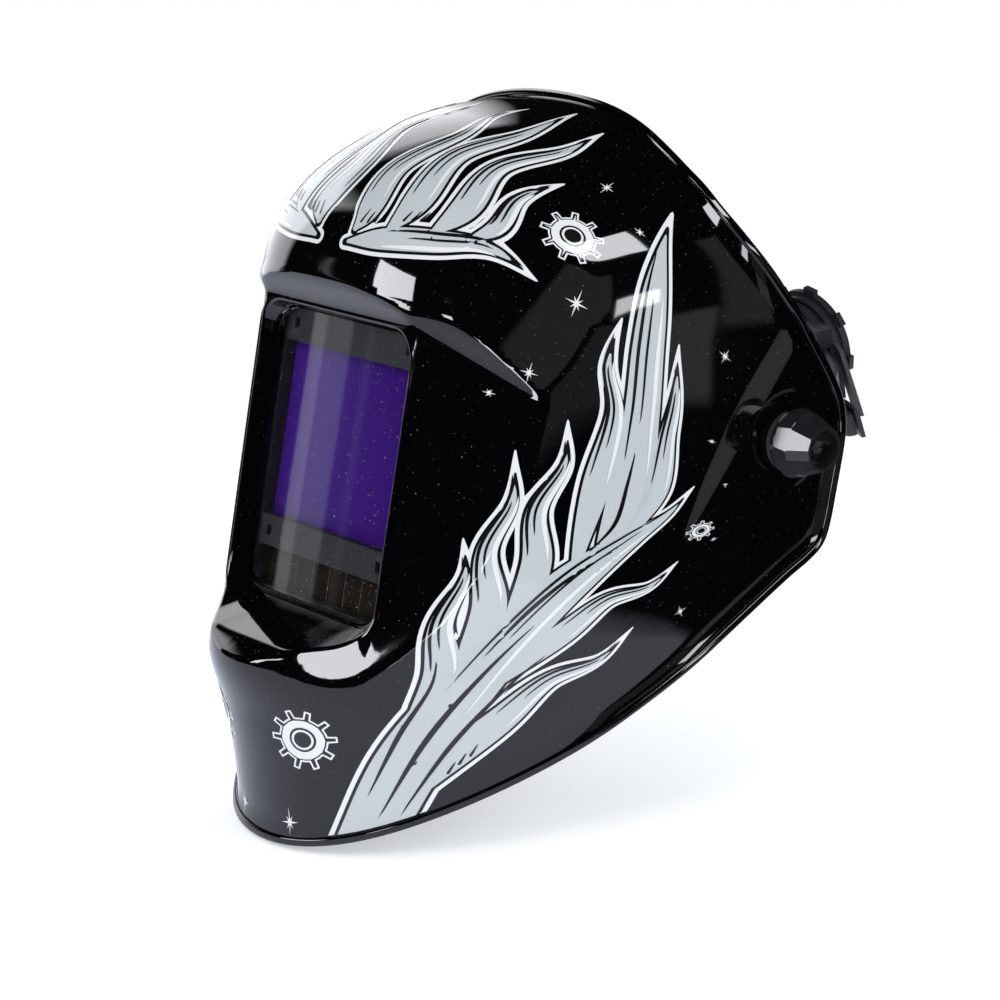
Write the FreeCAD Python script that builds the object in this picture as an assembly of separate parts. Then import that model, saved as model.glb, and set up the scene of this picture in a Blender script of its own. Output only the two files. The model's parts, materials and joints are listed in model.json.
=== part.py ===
import FreeCAD, Part
import math
import os

# Auto-darkening welding helmet: a full-face shell that tilts on a ratchet headgear.
# Lengths are in millimetres. +X is the wearer's left, -Y is the front and +Z is up.
# The origin is the middle of the tilt axis, which is the middle of the wearer's head.

V = FreeCAD.Vector
os.makedirs("parts", exist_ok=True)

# ---------------------------------------------------------------- driving dimensions
SHELL_LEAN = 10.8          # the filter leans back this many degrees
GEAR_LEAN = 11.2           # the headband rises this many degrees towards the nape
PIVOT = V(0, -11.5, 2.3)   # the tilt axis, in the shell's own frame
WALL = 2.4                 # moulded shell wall
BEAD_PROUD = 1.4           # the rolled edge stands this far out of the shell
BEAD_WIDE = 4.2
BEAD_LIP = 0.6             # and this far past the wall's end
RUN = 0.05                 # radial running clearance of a shaft in its hole
GAP = 0.2                  # plain clearance between neighbouring pieces

# Shell sections by height: level, front, half width at the ears, squareness.
LEVELS = [
    (-240, -186, 86, 2.1),
    (-200, -197, 96, 2.1),
    (-178, -204, 101, 2.05),
    (-155, -213.5, 106, 2.0),
    (-127, -226.5, 110, 2.0),
    (-90, -229, 112, 2.1),
    (-50, -226, 113, 2.35),
    (10, -216, 113, 2.75),
    (47, -206, 112.5, 3.0),
]
CROWN_SQUARENESS = [(47, 3.0), (80, 2.75), (100, 2.5), (120, 2.25), (147, 2.1)]
WIDEST_Y = -20             # the sections are widest here and run straight behind it
CROWN_BASE = 47            # the crown dome starts at this level
CROWN_HEIGHT = 99.5
CROWN_ARCH = 2.7           # exponent of the dome seen from behind
CROWN_PROFILE = 2.2        # exponent of the dome seen from the side

# The shell is surveyed along rays that leave this point.
SURVEY = V(0, 45, -15)
CREASE = 0.8               # softness of the moulded creases

# Planes that cut the shell to facets: normal, then a point on the plane.
BROW_FRONT = ((0, -0.763, -0.646), (0, -206, 47))
BROW_SIDE = ((0.422, -0.703, -0.573), (78.6, -183.3, 36.4))
LIP_FRONT = ((0, -0.66, 0.75), (0, -216, -115))
LIP_SIDE = ((0.640, -0.759, 0.134), (57.5, -195, -111))
VISOR_FRONT = ((0, -1, 0), (0, -196, 0))
VISOR_SIDE = ((0.731, -0.682, 0), (57.5, -195, 0))
TEMPLE_FACET = ((0.887, -0.453, 0.093), (81.5, -180.3, 29.6))
TEMPLE_BEVEL = ((0.831, -0.532, 0.163), (78.1, -183.3, 36.3))
EAR_FLAT = ((1, 0, 0), (110.8, 0, 0))
EAR_BEVEL = ((0.989, 0.130, -0.068), (112.4, -36.1, 33.3))

# The rim seen from the side, as (y, z) from the crown down to the chin.
RIM = [
    (-84.5, 152), (-84.5, 140), (-84, 132.5), (-82.5, 125.5), (-79, 118.5), (-74, 112),
    (-67, 103), (-55, 92), (-40, 79.5), (-28, 69), (-14.5, 58), (-1, 45), (10, 34),
    (18, 24), (22.6, 13), (24, 2), (23.7, -18), (23, -36), (20.5, -45.5), (13.5, -53),
    (0, -63), (-24, -82.5), (-69, -119.5), (-111.5, -153), (-165, -191), (-215, -224),
]

# Visor opening and the filter that sits behind it, in the shell's frame.
OPEN_FRONT = (57.5, -106.5, 32, -195)     # half width, bottom, top, y at its front edge
OPEN_BACK = (51.5, -103, 31, -188.2)
OPEN_CORNER = 14
SILL_DROP = 0.41                          # the sill falls this much per mm forwards
FLANGE = 1.4
CASE_HALF = 57.0
CASE_BOTTOM, CASE_TOP = -106.0, 36.0
CASE_FRONT, CASE_SPLIT, CASE_BACK = -185.1, -179.0, -174.0
CASE_WALL = 1.6
SEAT_GAP = 0.4                            # round the filter in its seat
SEAT_BACK = -171.0
CONTROL_TOP, CONTROL_BACK = -71.5, -168.0  # the thicker control housing under the view
VIEW_HALF, VIEW_BOTTOM, VIEW_TOP = 49.0, -68.2, 14.0
SOLAR_BOTTOM, SOLAR_TOP = -100.6, -82.4

HINGE_Y, HINGE_Z, HINGE_R = -166.5, 42.5, 1.5   # retaining frame's hinge line
PEG_R, PEG_REACH = 2.6, 20.0              # tilt stop peg and its distance below the axis
NECK_R = 8.0                              # washer neck that the shell turns on

# Ear stack along X on each side, from the headband out to the tension knob.
BRACKET_X = 86.0
HUB_X = 102.4
STOP_X = (102.6, 105.8)
INNER_WASHER_X = (106.0, 108.2)
OUTER_WASHER_X = (111.1, 113.9)
KNOB_X = (115.1, 135.5)
BOLT_R = 3.0

# Headband loop in the headgear's frame.
BAND_LEVEL = -10.7         # mid height of the band
BAND_HALF = 84.0           # half width of the loop, to the middle of the band
ARC_Y = 22.0               # the rear half of the loop is an arc about this point
BAND_FRONT = 122.0         # from that point forwards to the middle of the front band
BAND_T = 2.0
PINION_PITCH = 5.0
MODULE = 1.0
TEETH = 10
STRAP_L = (85.2, 86.7)     # radii of the wearer's left rack strap
STRAP_R = (87.0, 88.5)     # radii of the right one, which runs outside it
STRAP_HALF_H = 9.0


# ---------------------------------------------------------------- small helpers
def box(x0, x1, y0, y1, z0, z1):
    return Part.makeBox(x1 - x0, y1 - y0, z1 - z0, V(x0, y0, z0))


def rod(r, start, end):
    axis = end - start
    return Part.makeCylinder(r, axis.Length, start, axis)


def rod_x(r, x0, x1, y=0.0, z=0.0):
    return rod(r, V(x0, y, z), V(x1, y, z))


def rod_y(r, y0, y1, x=0.0, z=0.0):
    return rod(r, V(x, y0, z), V(x, y1, z))


def ring_x(r_out, r_in, x0, x1):
    return rod_x(r_out, x0, x1).cut(rod_x(r_in, x0 - 1, x1 + 1))


def ring_y(r_out, r_in, y0, y1, x=0.0, z=0.0):
    return rod_y(r_out, y0, y1, x, z).cut(rod_y(r_in, y0 - 1, y1 + 1, x, z))


def rounded_rect(half, bottom, top, y, corner):
    """A wire in the plane at y: a rectangle on the centre line with rounded corners."""
    c = corner
    s = c * (1 - math.sqrt(0.5))
    corners = [(half, bottom, -1, 1), (half, top, -1, -1), (-half, top, 1, -1), (-half, bottom, 1, 1)]
    order = [(0, 1), (1, 0), (0, 1), (1, 0)]
    pts = []
    for (x, z, sx, sz), (first_x, _) in zip(corners, order):
        on_x = V(x + sx * c, y, z)
        on_z = V(x, y, z + sz * c)
        mid = V(x + sx * s, y, z + sz * s)
        pts.append((on_x, mid, on_z) if first_x == 0 else (on_z, mid, on_x))
    edges = []
    for i, (a, m, b) in enumerate(pts):
        edges.append(Part.Arc(a, m, b).toShape())
        edges.append(Part.makeLine(b, pts[(i + 1) % 4][0]))
    return Part.Wire(edges)


def rounded_box(half, bottom, top, y0, y1, corner):
    face = Part.Face(rounded_rect(half, bottom, top, y0, corner))
    return face.extrude(V(0, y1 - y0, 0))


def mirror(shape):
    return shape.mirror(V(0, 0, 0), V(1, 0, 0))


def group(shapes):
    return Part.makeCompound(shapes)


def in_shell(shape):
    """From the shell's own frame to the row frame."""
    s = shape.copy()
    s.translate(PIVOT.negative())
    s.rotate(V(0, 0, 0), V(1, 0, 0), -SHELL_LEAN)
    return s


def in_gear(shape):
    """From the headgear's own frame to the row frame."""
    s = shape.copy()
    s.rotate(V(0, 0, 0), V(1, 0, 0), GEAR_LEAN)
    return s


def save(name, shape):
    if shape.ShapeType == "Compound" and len(shape.Solids) == 1:
        shape = shape.Solids[0]
    assert shape.isValid(), name
    assert len(shape.Solids) >= 1, name
    shape.exportStep("parts/" + name + ".step")
    b = shape.BoundBox
    print("%-26s solids %2d  vol %9.1f  %7.1f..%6.1f %7.1f..%6.1f %7.1f..%6.1f" % (
        name, len(shape.Solids), shape.Volume, b.XMin, b.XMax, b.YMin, b.YMax, b.ZMin, b.ZMax))


# ---------------------------------------------------------------- the shell's surface
def through(table, column, at):
    """Smooth curve through a table's column, by its first column."""
    n = len(table)
    if at <= table[0][0]:
        return table[0][column]
    if at >= table[n - 1][0]:
        return table[n - 1][column]
    i = 0
    while table[i + 1][0] < at:
        i += 1

    def slope(k):
        if k == 0 or k == n - 1:
            j = min(k, n - 2)
            return (table[j + 1][column] - table[j][column]) / (table[j + 1][0] - table[j][0])
        a = (table[k][column] - table[k - 1][column]) / (table[k][0] - table[k - 1][0])
        b = (table[k + 1][column] - table[k][column]) / (table[k + 1][0] - table[k][0])
        return 0.0 if a * b <= 0 else 2 * a * b / (a + b)

    h = table[i + 1][0] - table[i][0]
    t = (at - table[i][0]) / h
    p0, p1 = table[i][column], table[i + 1][column]
    m0, m1 = slope(i) * h, slope(i + 1) * h
    return ((2 * t - 3) * t * t + 1) * p0 + ((t - 2) * t + 1) * t * m0 + (3 - 2 * t) * t * t * p1 + (t - 1) * t * t * m1


def section(z):
    """Half width, half length and squareness of the shell's section at level z."""
    front = through(LEVELS, 1, z)
    half = through(LEVELS, 2, z)
    square = through(LEVELS, 3, z)
    length = WIDEST_Y - front
    if z > CROWN_BASE:
        u = min((z - CROWN_BASE) / CROWN_HEIGHT, 0.9999)
        half *= (1 - u ** CROWN_ARCH) ** (1 / CROWN_ARCH)
        length *= (1 - u ** CROWN_PROFILE) ** (1 / CROWN_PROFILE)
        square = through(CROWN_SQUARENESS, 1, z)
    return half, length, square


def inside_egg(x, y, z):
    if z >= CROWN_BASE + CROWN_HEIGHT:
        return False
    half, length, square = section(z)
    reach = (abs(x) / half) ** square
    if y < WIDEST_Y:
        reach += (abs(y - WIDEST_Y) / length) ** square
    return reach < 1


def ray(theta, latitude):
    """Unit vector: theta rises from the front, latitude turns to the wearer's left."""
    return (math.sin(latitude), -math.cos(latitude) * math.cos(theta), math.cos(latitude) * math.sin(theta))


def to_egg(w):
    lo, hi = 5.0, 480.0
    for _ in range(34):
        r = (lo + hi) / 2
        if inside_egg(SURVEY.x + r * w[0], SURVEY.y + r * w[1], SURVEY.z + r * w[2]):
            lo = r
        else:
            hi = r
    return lo


def to_plane(w, plane, side=1):
    """Distance along the ray to a plane; side -1 takes the plane's mirror image."""
    (nx, ny, nz), (px, py, pz) = plane
    facing = side * nx * w[0] + ny * w[1] + nz * w[2]
    if facing < 1e-6:
        return 1e4
    return (nx * px + ny * (py - SURVEY.y) + nz * (pz - SURVEY.z) - side * nx * SURVEY.x) / facing


def nearest(a, b, k=CREASE):
    """The smaller distance, with the crease between the two rounded."""
    d = abs(a - b) / k
    return min(a, b) - (k * math.log1p(math.exp(-d)) if d < 40 else 0.0)


def farthest(a, b, k=CREASE):
    return -nearest(-a, -b, k)


def shell_reach(theta, latitude):
    """Distance from the survey point to the shell's outer face."""
    w = ray(theta, latitude)
    egg = to_egg(w)
    side = 1 if latitude >= 0 else -1
    visor = nearest(to_plane(w, VISOR_FRONT), to_plane(w, VISOR_SIDE, side))
    brow = nearest(to_plane(w, BROW_FRONT), to_plane(w, BROW_SIDE, side))
    lip = nearest(to_plane(w, LIP_FRONT), to_plane(w, LIP_SIDE, side))
    face = farthest(farthest(visor, brow), lip)
    r = nearest(egg, face)
    temple = nearest(to_plane(w, TEMPLE_FACET, side), to_plane(w, TEMPLE_BEVEL, side), 0.4)
    r = nearest(r, temple, 0.4)
    ear = farthest(to_plane(w, EAR_FLAT, side), to_plane(w, EAR_BEVEL, side), 0.4)
    return nearest(r, ear, 0.4)


def shell_point(theta, latitude):
    w = ray(theta, latitude)
    r = shell_reach(theta, latitude)
    return V(SURVEY.x + r * w[0], SURVEY.y + r * w[1], SURVEY.z + r * w[2])


def shell_normal(theta, latitude):
    e = math.radians(0.3)
    a = shell_point(theta + e, latitude) - shell_point(theta - e, latitude)
    b = shell_point(theta, latitude + e) - shell_point(theta, latitude - e)
    n = b.cross(a)
    n.normalize()
    w = ray(theta, latitude)
    return n if n.x * w[0] + n.y * w[1] + n.z * w[2] > 0 else n.negative()


def spline_surface(rows):
    s = Part.BSplineSurface()
    s.interpolate(rows)
    return s


def patches(surface):
    """The surface's faces, cut along its own lines so that each stays a small spline."""
    u0, u1, v0, v1 = surface.bounds()
    faces = []
    for i in range(PATCHES[0]):
        for j in range(PATCHES[1]):
            part = surface.copy()
            part.segment(
                u0 + (u1 - u0) * i / PATCHES[0], u0 + (u1 - u0) * (i + 1) / PATCHES[0],
                v0 + (v1 - v0) * j / PATCHES[1], v0 + (v1 - v0) * (j + 1) / PATCHES[1])
            faces.append(part)
    return faces


def solid_between(outer, inner):
    """Close two surfaces that were drawn on the same grid into one solid."""
    a, b = patches(spline_surface(outer)), patches(spline_surface(inner))
    faces = [p.toShape() for p in a + b]
    rows, columns = PATCHES
    for k, (p, q) in enumerate(zip(a, b)):
        i, j = divmod(k, columns)
        u0, u1, v0, v1 = p.bounds()
        s0, s1, t0, t1 = q.bounds()
        sides = []
        if i == 0:
            sides.append((p.uIso(u0), q.uIso(s0)))
        if i == rows - 1:
            sides.append((p.uIso(u1), q.uIso(s1)))
        if j == 0:
            sides.append((p.vIso(v0), q.vIso(t0)))
        if j == columns - 1:
            sides.append((p.vIso(v1), q.vIso(t1)))
        faces += [Part.makeRuledSurface(c.toShape(), d.toShape()) for c, d in sides]
    sewn = Part.makeCompound(faces)
    sewn.sewShape()
    solid = Part.makeSolid(sewn.Shells[0])
    return solid if solid.Volume > 0 else Part.makeSolid(sewn.Shells[0].reversed())


# The surface is surveyed along a fan of rays, about 6 mm apart over the face.
THETAS = [math.radians(-57 + 1.5 * i) for i in range(79)]
LATITUDES = [math.radians(-81 + 1.8 * i) for i in range(91)]
PATCHES = (3, 6)


def survey(depth):
    """The grid of points this far inside the shell's outer face."""
    rows = []
    for a in THETAS:
        row = []
        for b in LATITUDES:
            p = shell_point(a, b)
            if depth:
                p = p - shell_normal(a, b) * depth
            row.append(p)
        rows.append(row)
    return rows


def side_prism(curve, corners_of):
    """Everything in front of a curve of the side view, through the shell's whole width."""
    first, last = curve.value(curve.FirstParameter), curve.value(curve.LastParameter)
    corners = [last] + corners_of(first, last) + [first]
    edges = [curve.toShape()]
    edges += [Part.makeLine(corners[i], corners[i + 1]) for i in range(len(corners) - 1)]
    face = Part.Face(Part.Wire(edges))
    face.translate(V(-150, 0, 0))
    return face.extrude(V(300, 0, 0))


def in_front(first, last):
    return [V(0, -320, last.z), V(0, -320, first.z)]


def shifted_rim(by):
    """The rim curve moved this far backwards, away from the shell; negative is forwards."""
    pts = []
    for i, (y, z) in enumerate(RIM):
        y0, z0 = RIM[max(i - 1, 0)]
        y1, z1 = RIM[min(i + 1, len(RIM) - 1)]
        run = math.hypot(y1 - y0, z1 - z0)
        pts.append(V(0, y - (z1 - z0) / run * by, z + (y1 - y0) / run * by))
    c = Part.BSplineCurve()
    c.interpolate(pts)
    return c


def opening_tool(grow=0.0):
    """What is cut away for the visor opening, or its outer wall when grown."""
    half, bottom, top, y = OPEN_FRONT
    back_half, back_bottom, back_top, back_y = OPEN_BACK
    reach = 70.0
    corner = OPEN_CORNER + grow
    g = grow
    mouth = rounded_rect(half + g, bottom - g, top + g, y, corner)
    throat = rounded_rect(back_half + g, back_bottom - g, back_top + g, back_y + FLANGE / 2, corner)
    far = rounded_rect(half + g, bottom - g - SILL_DROP * reach, top + g, y - reach, corner)
    inner = Part.makeLoft([throat, mouth], True, True)
    outer = Part.makeLoft([mouth, far], True, True)
    return inner.fuse(outer)


def window(half, bottom, top, y0, y1, corner=2.0):
    return rounded_box(half, bottom, top, y0, y1, corner)


# ---------------------------------------------------------------- shell
def build_shell():
    """One-piece moulding: thin wall, rolled edge, visor tunnel and filter seat."""
    outer_grid, inner_grid = survey(0), survey(WALL)
    core = [[SURVEY + (p - SURVEY) * 0.25 for p in row] for row in outer_grid]
    envelope = solid_between(outer_grid, core)

    # wall up to its rolled edge, then the edge itself, which stands a little proud
    edge_back = side_prism(shifted_rim(BEAD_LIP), in_front)
    edge_front = side_prism(shifted_rim(BEAD_LIP - BEAD_WIDE), in_front)
    wall = solid_between(outer_grid, inner_grid).common(edge_front)
    edge = solid_between(survey(-BEAD_PROUD), inner_grid).common(edge_back.cut(edge_front))
    shell = wall.fuse(edge)

    # tunnel round the visor opening
    tool = opening_tool()
    shell = shell.cut(tool)
    shell = shell.fuse(opening_tool(WALL).cut(tool).common(envelope))

    # box that the filter sits in, closed in front by a narrow flange
    half = CASE_HALF + SEAT_GAP
    low, high = CASE_BOTTOM - SEAT_GAP, CASE_TOP + SEAT_GAP
    back_half, back_bottom, back_top, front = OPEN_BACK
    seat = rounded_box(half + WALL, low - WALL, high + WALL, front, SEAT_BACK, 5.0)
    seat = seat.cut(rounded_box(half, low, high, front + FLANGE, SEAT_BACK + 1, 2.6))
    seat = seat.cut(window(back_half - 1.3, back_bottom + 1.3, back_top - 1.3, front - 1, front + 3, 12.0))
    for x in (-30.0, 30.0):
        lug = box(x - 3, x + 3, HINGE_Y - 2.6, HINGE_Y + 2.6, high + WALL - 1, HINGE_Z)
        lug = lug.fuse(rod_x(2.6, x - 3, x + 3, HINGE_Y, HINGE_Z))
        lug = lug.fuse(box(x - 3, x + 3, SEAT_BACK - 8, HINGE_Y, high + WALL - 1, high + WALL + 1.4))
        seat = seat.fuse(lug).cut(rod_x(HINGE_R + RUN, x - 4, x + 4, HINGE_Y, HINGE_Z))
    shell = shell.fuse(seat)

    # ears: bearing holes for the washers' necks and the pegs that meet the tilt stops
    for side in (1, -1):
        peg = rod_x(PEG_R, side * (STOP_X[0] + 0.4), side * (EAR_FLAT[1][0] - 1), PIVOT.y, PIVOT.z - PEG_REACH)
        shell = shell.fuse(peg)
    return shell.cut(rod_x(NECK_R + RUN, -130, 130, PIVOT.y, PIVOT.z))


save("shell", in_shell(build_shell()))

# ---------------------------------------------------------------- filter cartridge
# clear polycarbonate sheet that takes the spatter
save("cover_lens_front", in_shell(window(56.6, -105.6, 35.6, -186.7, -185.5, 2.4)))

# front half of the cartridge's case, with windows for the view, the solar panel and the sensors
SENSORS = [(x, z) for z in (22.6, (VIEW_BOTTOM + SOLAR_TOP) / 2) for x in (-42.4, 42.4)]
front = rounded_box(CASE_HALF, CASE_BOTTOM, CASE_TOP, CASE_FRONT, CASE_SPLIT, 2.4)
front = front.cut(rounded_box(
    CASE_HALF - CASE_WALL, CASE_BOTTOM + CASE_WALL, CASE_TOP - CASE_WALL, CASE_FRONT + 2.0, CASE_SPLIT + 1, 1.5))
for half, low, high in ((VIEW_HALF, VIEW_BOTTOM, VIEW_TOP), (VIEW_HALF, SOLAR_BOTTOM, SOLAR_TOP)):
    frame = window(half + 1.4, low - 1.4, high + 1.4, CASE_FRONT + 1, CASE_SPLIT, 1.9)
    front = front.fuse(frame).cut(window(half, low, high, CASE_FRONT - 1, CASE_SPLIT + 1, 0.8))
for x, z in SENSORS:
    front = front.cut(box(x - 1.7, x + 1.7, CASE_FRONT - 1, CASE_FRONT + 3, z - 2.5, z + 2.5))
save("filter_case_front", in_shell(front))

# back half, with the pocket for the glass and the control housing below it
back = rounded_box(CASE_HALF, CASE_BOTTOM, CASE_TOP, CASE_SPLIT + 0.1, CASE_BACK, 2.4)
back = back.fuse(rounded_box(CASE_HALF - 1, CASE_BOTTOM + 1, CONTROL_TOP, CASE_BACK - 1, CONTROL_BACK, 2.4))
back = back.cut(window(50.7, -69.9, 15.7, CASE_SPLIT, -175.5, 1.0))
back = back.cut(window(47.5, -66.7, 12.5, CASE_SPLIT, CASE_BACK + 1, 1.0))
back = back.cut(rounded_box(54.4, CASE_BOTTOM + 2.6, CONTROL_TOP - CASE_WALL, CASE_SPLIT, CONTROL_BACK - CASE_WALL, 1.5))
back = back.cut(rounded_box(54.4, 17.5, CASE_TOP - CASE_WALL, CASE_SPLIT, CASE_BACK - CASE_WALL, 1.5))
DIALS = [("sensitivity_dial", 20.0, 6.5), ("shade_dial", 0.0, 8.0), ("delay_dial", -20.0, 6.5)]
DIAL_Z = -88.5
BUTTON = (9.0, -77.8)
CELLS = (-43.0, 43.0)
for name, x, r in DIALS:
    back = back.cut(rod_y(2.0 + RUN, CONTROL_BACK - 3, CONTROL_BACK + 1, x, DIAL_Z))
back = back.cut(rod_y(2.4 + RUN, CONTROL_BACK - 3, CONTROL_BACK + 1, BUTTON[0], BUTTON[1]))
back = back.cut(rod_y(1.6, CONTROL_BACK - 3, CONTROL_BACK + 1, -BUTTON[0], BUTTON[1]))
for x in CELLS:
    back = back.cut(rod_y(10.4 + RUN, CONTROL_BACK - 3, CONTROL_BACK + 1, x, DIAL_Z))
save("filter_case_back", in_shell(back))

# laminated liquid-crystal glass with its interference filter
save("filter_glass", in_shell(window(50.5, -69.7, 15.5, CASE_SPLIT + 0.2, -175.7, 0.8)))

# strip of solar cells under the view
save("solar_panel", in_shell(window(50.6, SOLAR_BOTTOM - 1.3, SOLAR_TOP + 1.3, CASE_SPLIT + 0.2, -177.8, 0.8)))

# photodiodes behind the four small windows
save("arc_sensors", in_shell(group([box(x - 1.3, x + 1.3, -183.6, -179.4, z - 2.0, z + 2.0) for x, z in SENSORS])))

# circuit board in the control housing
board = box(-54.0, 54.0, -173.2, -171.8, CASE_BOTTOM + 3.2, CONTROL_TOP - 2.2)
for x in CELLS:
    board = board.cut(rod_y(10.9, -175, -170, x, DIAL_Z))
for name, x, r in DIALS:
    board = board.cut(rod_y(1.2, -175, -170, x, DIAL_Z))
save("circuit_board", in_shell(board))

# two coin cells, each under a bayonet cover with a coin slot
save("coin_cells", in_shell(group([rod_y(10.0, -176.4, -173.2, x, DIAL_Z) for x in CELLS])))
for side, x in (("right", CELLS[0]), ("left", CELLS[1])):
    cover = rod_y(10.4, CONTROL_BACK - CASE_WALL, CONTROL_BACK, x, DIAL_Z)
    cover = cover.fuse(rod_y(11.6, CONTROL_BACK + 0.1, CONTROL_BACK + 1.7, x, DIAL_Z))
    cover = cover.fuse(rod_y(10.4, CONTROL_BACK - 0.1, CONTROL_BACK + 0.2, x, DIAL_Z))
    cover = cover.cut(box(x - 7, x + 7, CONTROL_BACK + 0.7, CONTROL_BACK + 3, DIAL_Z - 1.0, DIAL_Z + 1.0))
    save("battery_cover_" + side, in_shell(cover))

# dials: a knurled cap on a short shaft, with a pointer groove
for name, x, r in DIALS:
    dial = rod_y(r, CONTROL_BACK + 0.2, CONTROL_BACK + 3.4, x, DIAL_Z)
    teeth = 24 if r > 7 else 18
    for i in range(teeth):
        a = 2 * math.pi * i / teeth
        dial = dial.cut(rod_y(0.55, CONTROL_BACK, CONTROL_BACK + 4, x + r * math.cos(a), DIAL_Z + r * math.sin(a)))
    dial = dial.cut(box(x - 0.4, x + 0.4, CONTROL_BACK + 2.8, CONTROL_BACK + 4, DIAL_Z + 1.0, DIAL_Z + r - 1.0))
    dial = dial.fuse(rod_y(2.0, CONTROL_BACK - 2.4, CONTROL_BACK + 0.4, x, DIAL_Z))
    dial = dial.fuse(rod_y(1.1, -173.0, CONTROL_BACK - 2.0, x, DIAL_Z))
    save(name, in_shell(dial))

# test button and the indicator lamp beside it
button_seat = CONTROL_BACK - CASE_WALL
button = rod_y(2.4, button_seat - 0.5, CONTROL_BACK + 1.4, BUTTON[0], BUTTON[1])
button = button.fuse(rod_y(3.2, button_seat - 0.9, button_seat - 0.05, BUTTON[0], BUTTON[1]))
save("test_button", in_shell(button))
save("indicator_lamp", in_shell(rod_y(1.5, CONTROL_BACK - 3.6, CONTROL_BACK + 0.5, -BUTTON[0], BUTTON[1])))

# thin clear sheet on the wearer's side of the glass
save("cover_lens_inner", in_shell(window(53.0, -70.5, 17.0, -173.9, -172.9, 2.0)))

# frame that holds the cartridge in its seat, hinged above it
frame = rounded_box(CASE_HALF - 0.2, -70.5, CASE_TOP - 0.2, -172.7, -170.0, 4.0)
frame = frame.cut(window(48.5, -66.0, 14.0, -174, -169, 4.0))
for x in (-44.0, 44.0):
    frame = frame.fuse(box(x - 5, x + 5, -170.2, -167.4, -70.5, -68.0))
for x in (-22.5, 22.5):
    arm = box(x - 4, x + 4, -170.4, HINGE_Y + 2.6, CASE_TOP - 6, CASE_TOP - 0.2)
    arm = arm.fuse(box(x - 4, x + 4, HINGE_Y - 2.6, HINGE_Y + 2.6, CASE_TOP - 6, HINGE_Z))
    arm = arm.fuse(rod_x(2.6, x - 4, x + 4, HINGE_Y, HINGE_Z))
    frame = frame.fuse(arm)
frame = frame.cut(rod_x(HINGE_R + RUN, -30, 30, HINGE_Y, HINGE_Z))
save("retaining_frame", in_shell(frame))
save("retaining_pins", in_shell(group([
    rod_x(HINGE_R, 18.0, 33.5, HINGE_Y, HINGE_Z), rod_x(HINGE_R, -33.5, -18.0, HINGE_Y, HINGE_Z)])))


# ---------------------------------------------------------------- ear stack, both sides
def on_both_sides(name, left):
    save(name + "_left", left)
    save(name + "_right", mirror(left))


def square_x(half, x0, x1, turn):
    bar = box(x0, x1, -half, half, -half, half)
    bar.rotate(V(0, 0, 0), V(1, 0, 0), turn)
    return bar


def sector_x(r0, r1, x0, x1, middle, width):
    """Part of a ring about the tilt axis; middle is measured from straight down to the front."""
    ring = ring_x(r1, r0, x0, x1)
    wedge = Part.Face(Part.makePolygon([
        V(x0, 0, 0),
        V(x0, -2 * r1 * math.sin(math.radians(middle - width / 2)), -2 * r1 * math.cos(math.radians(middle - width / 2))),
        V(x0, -2 * r1 * math.sin(math.radians(middle + width / 2)), -2 * r1 * math.cos(math.radians(middle + width / 2))),
        V(x0, 0, 0),
    ])).extrude(V(x1 - x0, 0, 0))
    return ring.common(wedge)


# tilt stop plate: two lugs that the shell's peg meets at the ends of its swing
LIFT_UP, LIFT_DOWN = 55.0, 20.0
PEG_HALF = math.degrees(math.asin(PEG_R / PEG_REACH))
STOP_LUG = 12.0
stop = rod_x(PEG_REACH - PEG_R - 0.4, STOP_X[0], STOP_X[1])
half_gap = PEG_HALF + 0.4 + STOP_LUG / 2
for angle in (SHELL_LEAN + LIFT_UP + half_gap, SHELL_LEAN - LIFT_DOWN - half_gap):
    stop = stop.fuse(sector_x(16.0, 23.5, STOP_X[0], STOP_X[1], angle, STOP_LUG))
stop = stop.cut(square_x(4.6, STOP_X[0] - 1, STOP_X[1] + 1, GEAR_LEAN))
on_both_sides("tilt_stop", stop)

# pivot bolt: flat head, square neck, shank with a screwdriver slot in its end
bolt = rod_x(9.0, 93.6, 97.4)
bolt = bolt.fuse(square_x(4.5, 97.0, STOP_X[1] - 0.2, GEAR_LEAN))
bolt = bolt.fuse(rod_x(BOLT_R, STOP_X[1] - 1, 131.0))
bolt = bolt.cut(box(129.2, 132, -4, 4, -0.6, 0.6))
on_both_sides("pivot_bolt", bolt)

on_both_sides("inner_washer", ring_x(16.0, BOLT_R + RUN, INNER_WASHER_X[0], INNER_WASHER_X[1]))

# outer washer: the visible flange, and the neck that the shell turns on
washer = rod_x(13.7, OUTER_WASHER_X[0], OUTER_WASHER_X[1])
washer = washer.fuse(rod_x(NECK_R, INNER_WASHER_X[1] + 0.1, OUTER_WASHER_X[0] + 0.5))
on_both_sides("outer_washer", washer.cut(rod_x(BOLT_R + RUN, 100, 120)))

on_both_sides("spring_washer", ring_x(7.0, BOLT_R + RUN, OUTER_WASHER_X[1] + 0.1, KNOB_X[0] - 0.1))

# brass nut moulded into the tension knob
INSERT_R, INSERT_X = 4.25, (KNOB_X[0] + 0.6, 128.6)
on_both_sides("knob_insert", ring_x(INSERT_R, BOLT_R + RUN, INSERT_X[0], INSERT_X[1]))

# tension knob: a faceted cone with notches in its front rim
knob = Part.makeCone(15.4, 16.4, 3.4, V(KNOB_X[0], 0, 0), V(1, 0, 0))
knob = knob.fuse(Part.makeCone(16.4, 11.9, KNOB_X[1] - KNOB_X[0] - 3.4, V(KNOB_X[0] + 3.4, 0, 0), V(1, 0, 0)))


def octagon(inradius, x):
    r = inradius / math.cos(math.pi / 8)
    return Part.makePolygon([
        V(x, r * math.cos(math.pi / 8 * (2 * i + 1)), r * math.sin(math.pi / 8 * (2 * i + 1))) for i in range(9)])


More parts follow.
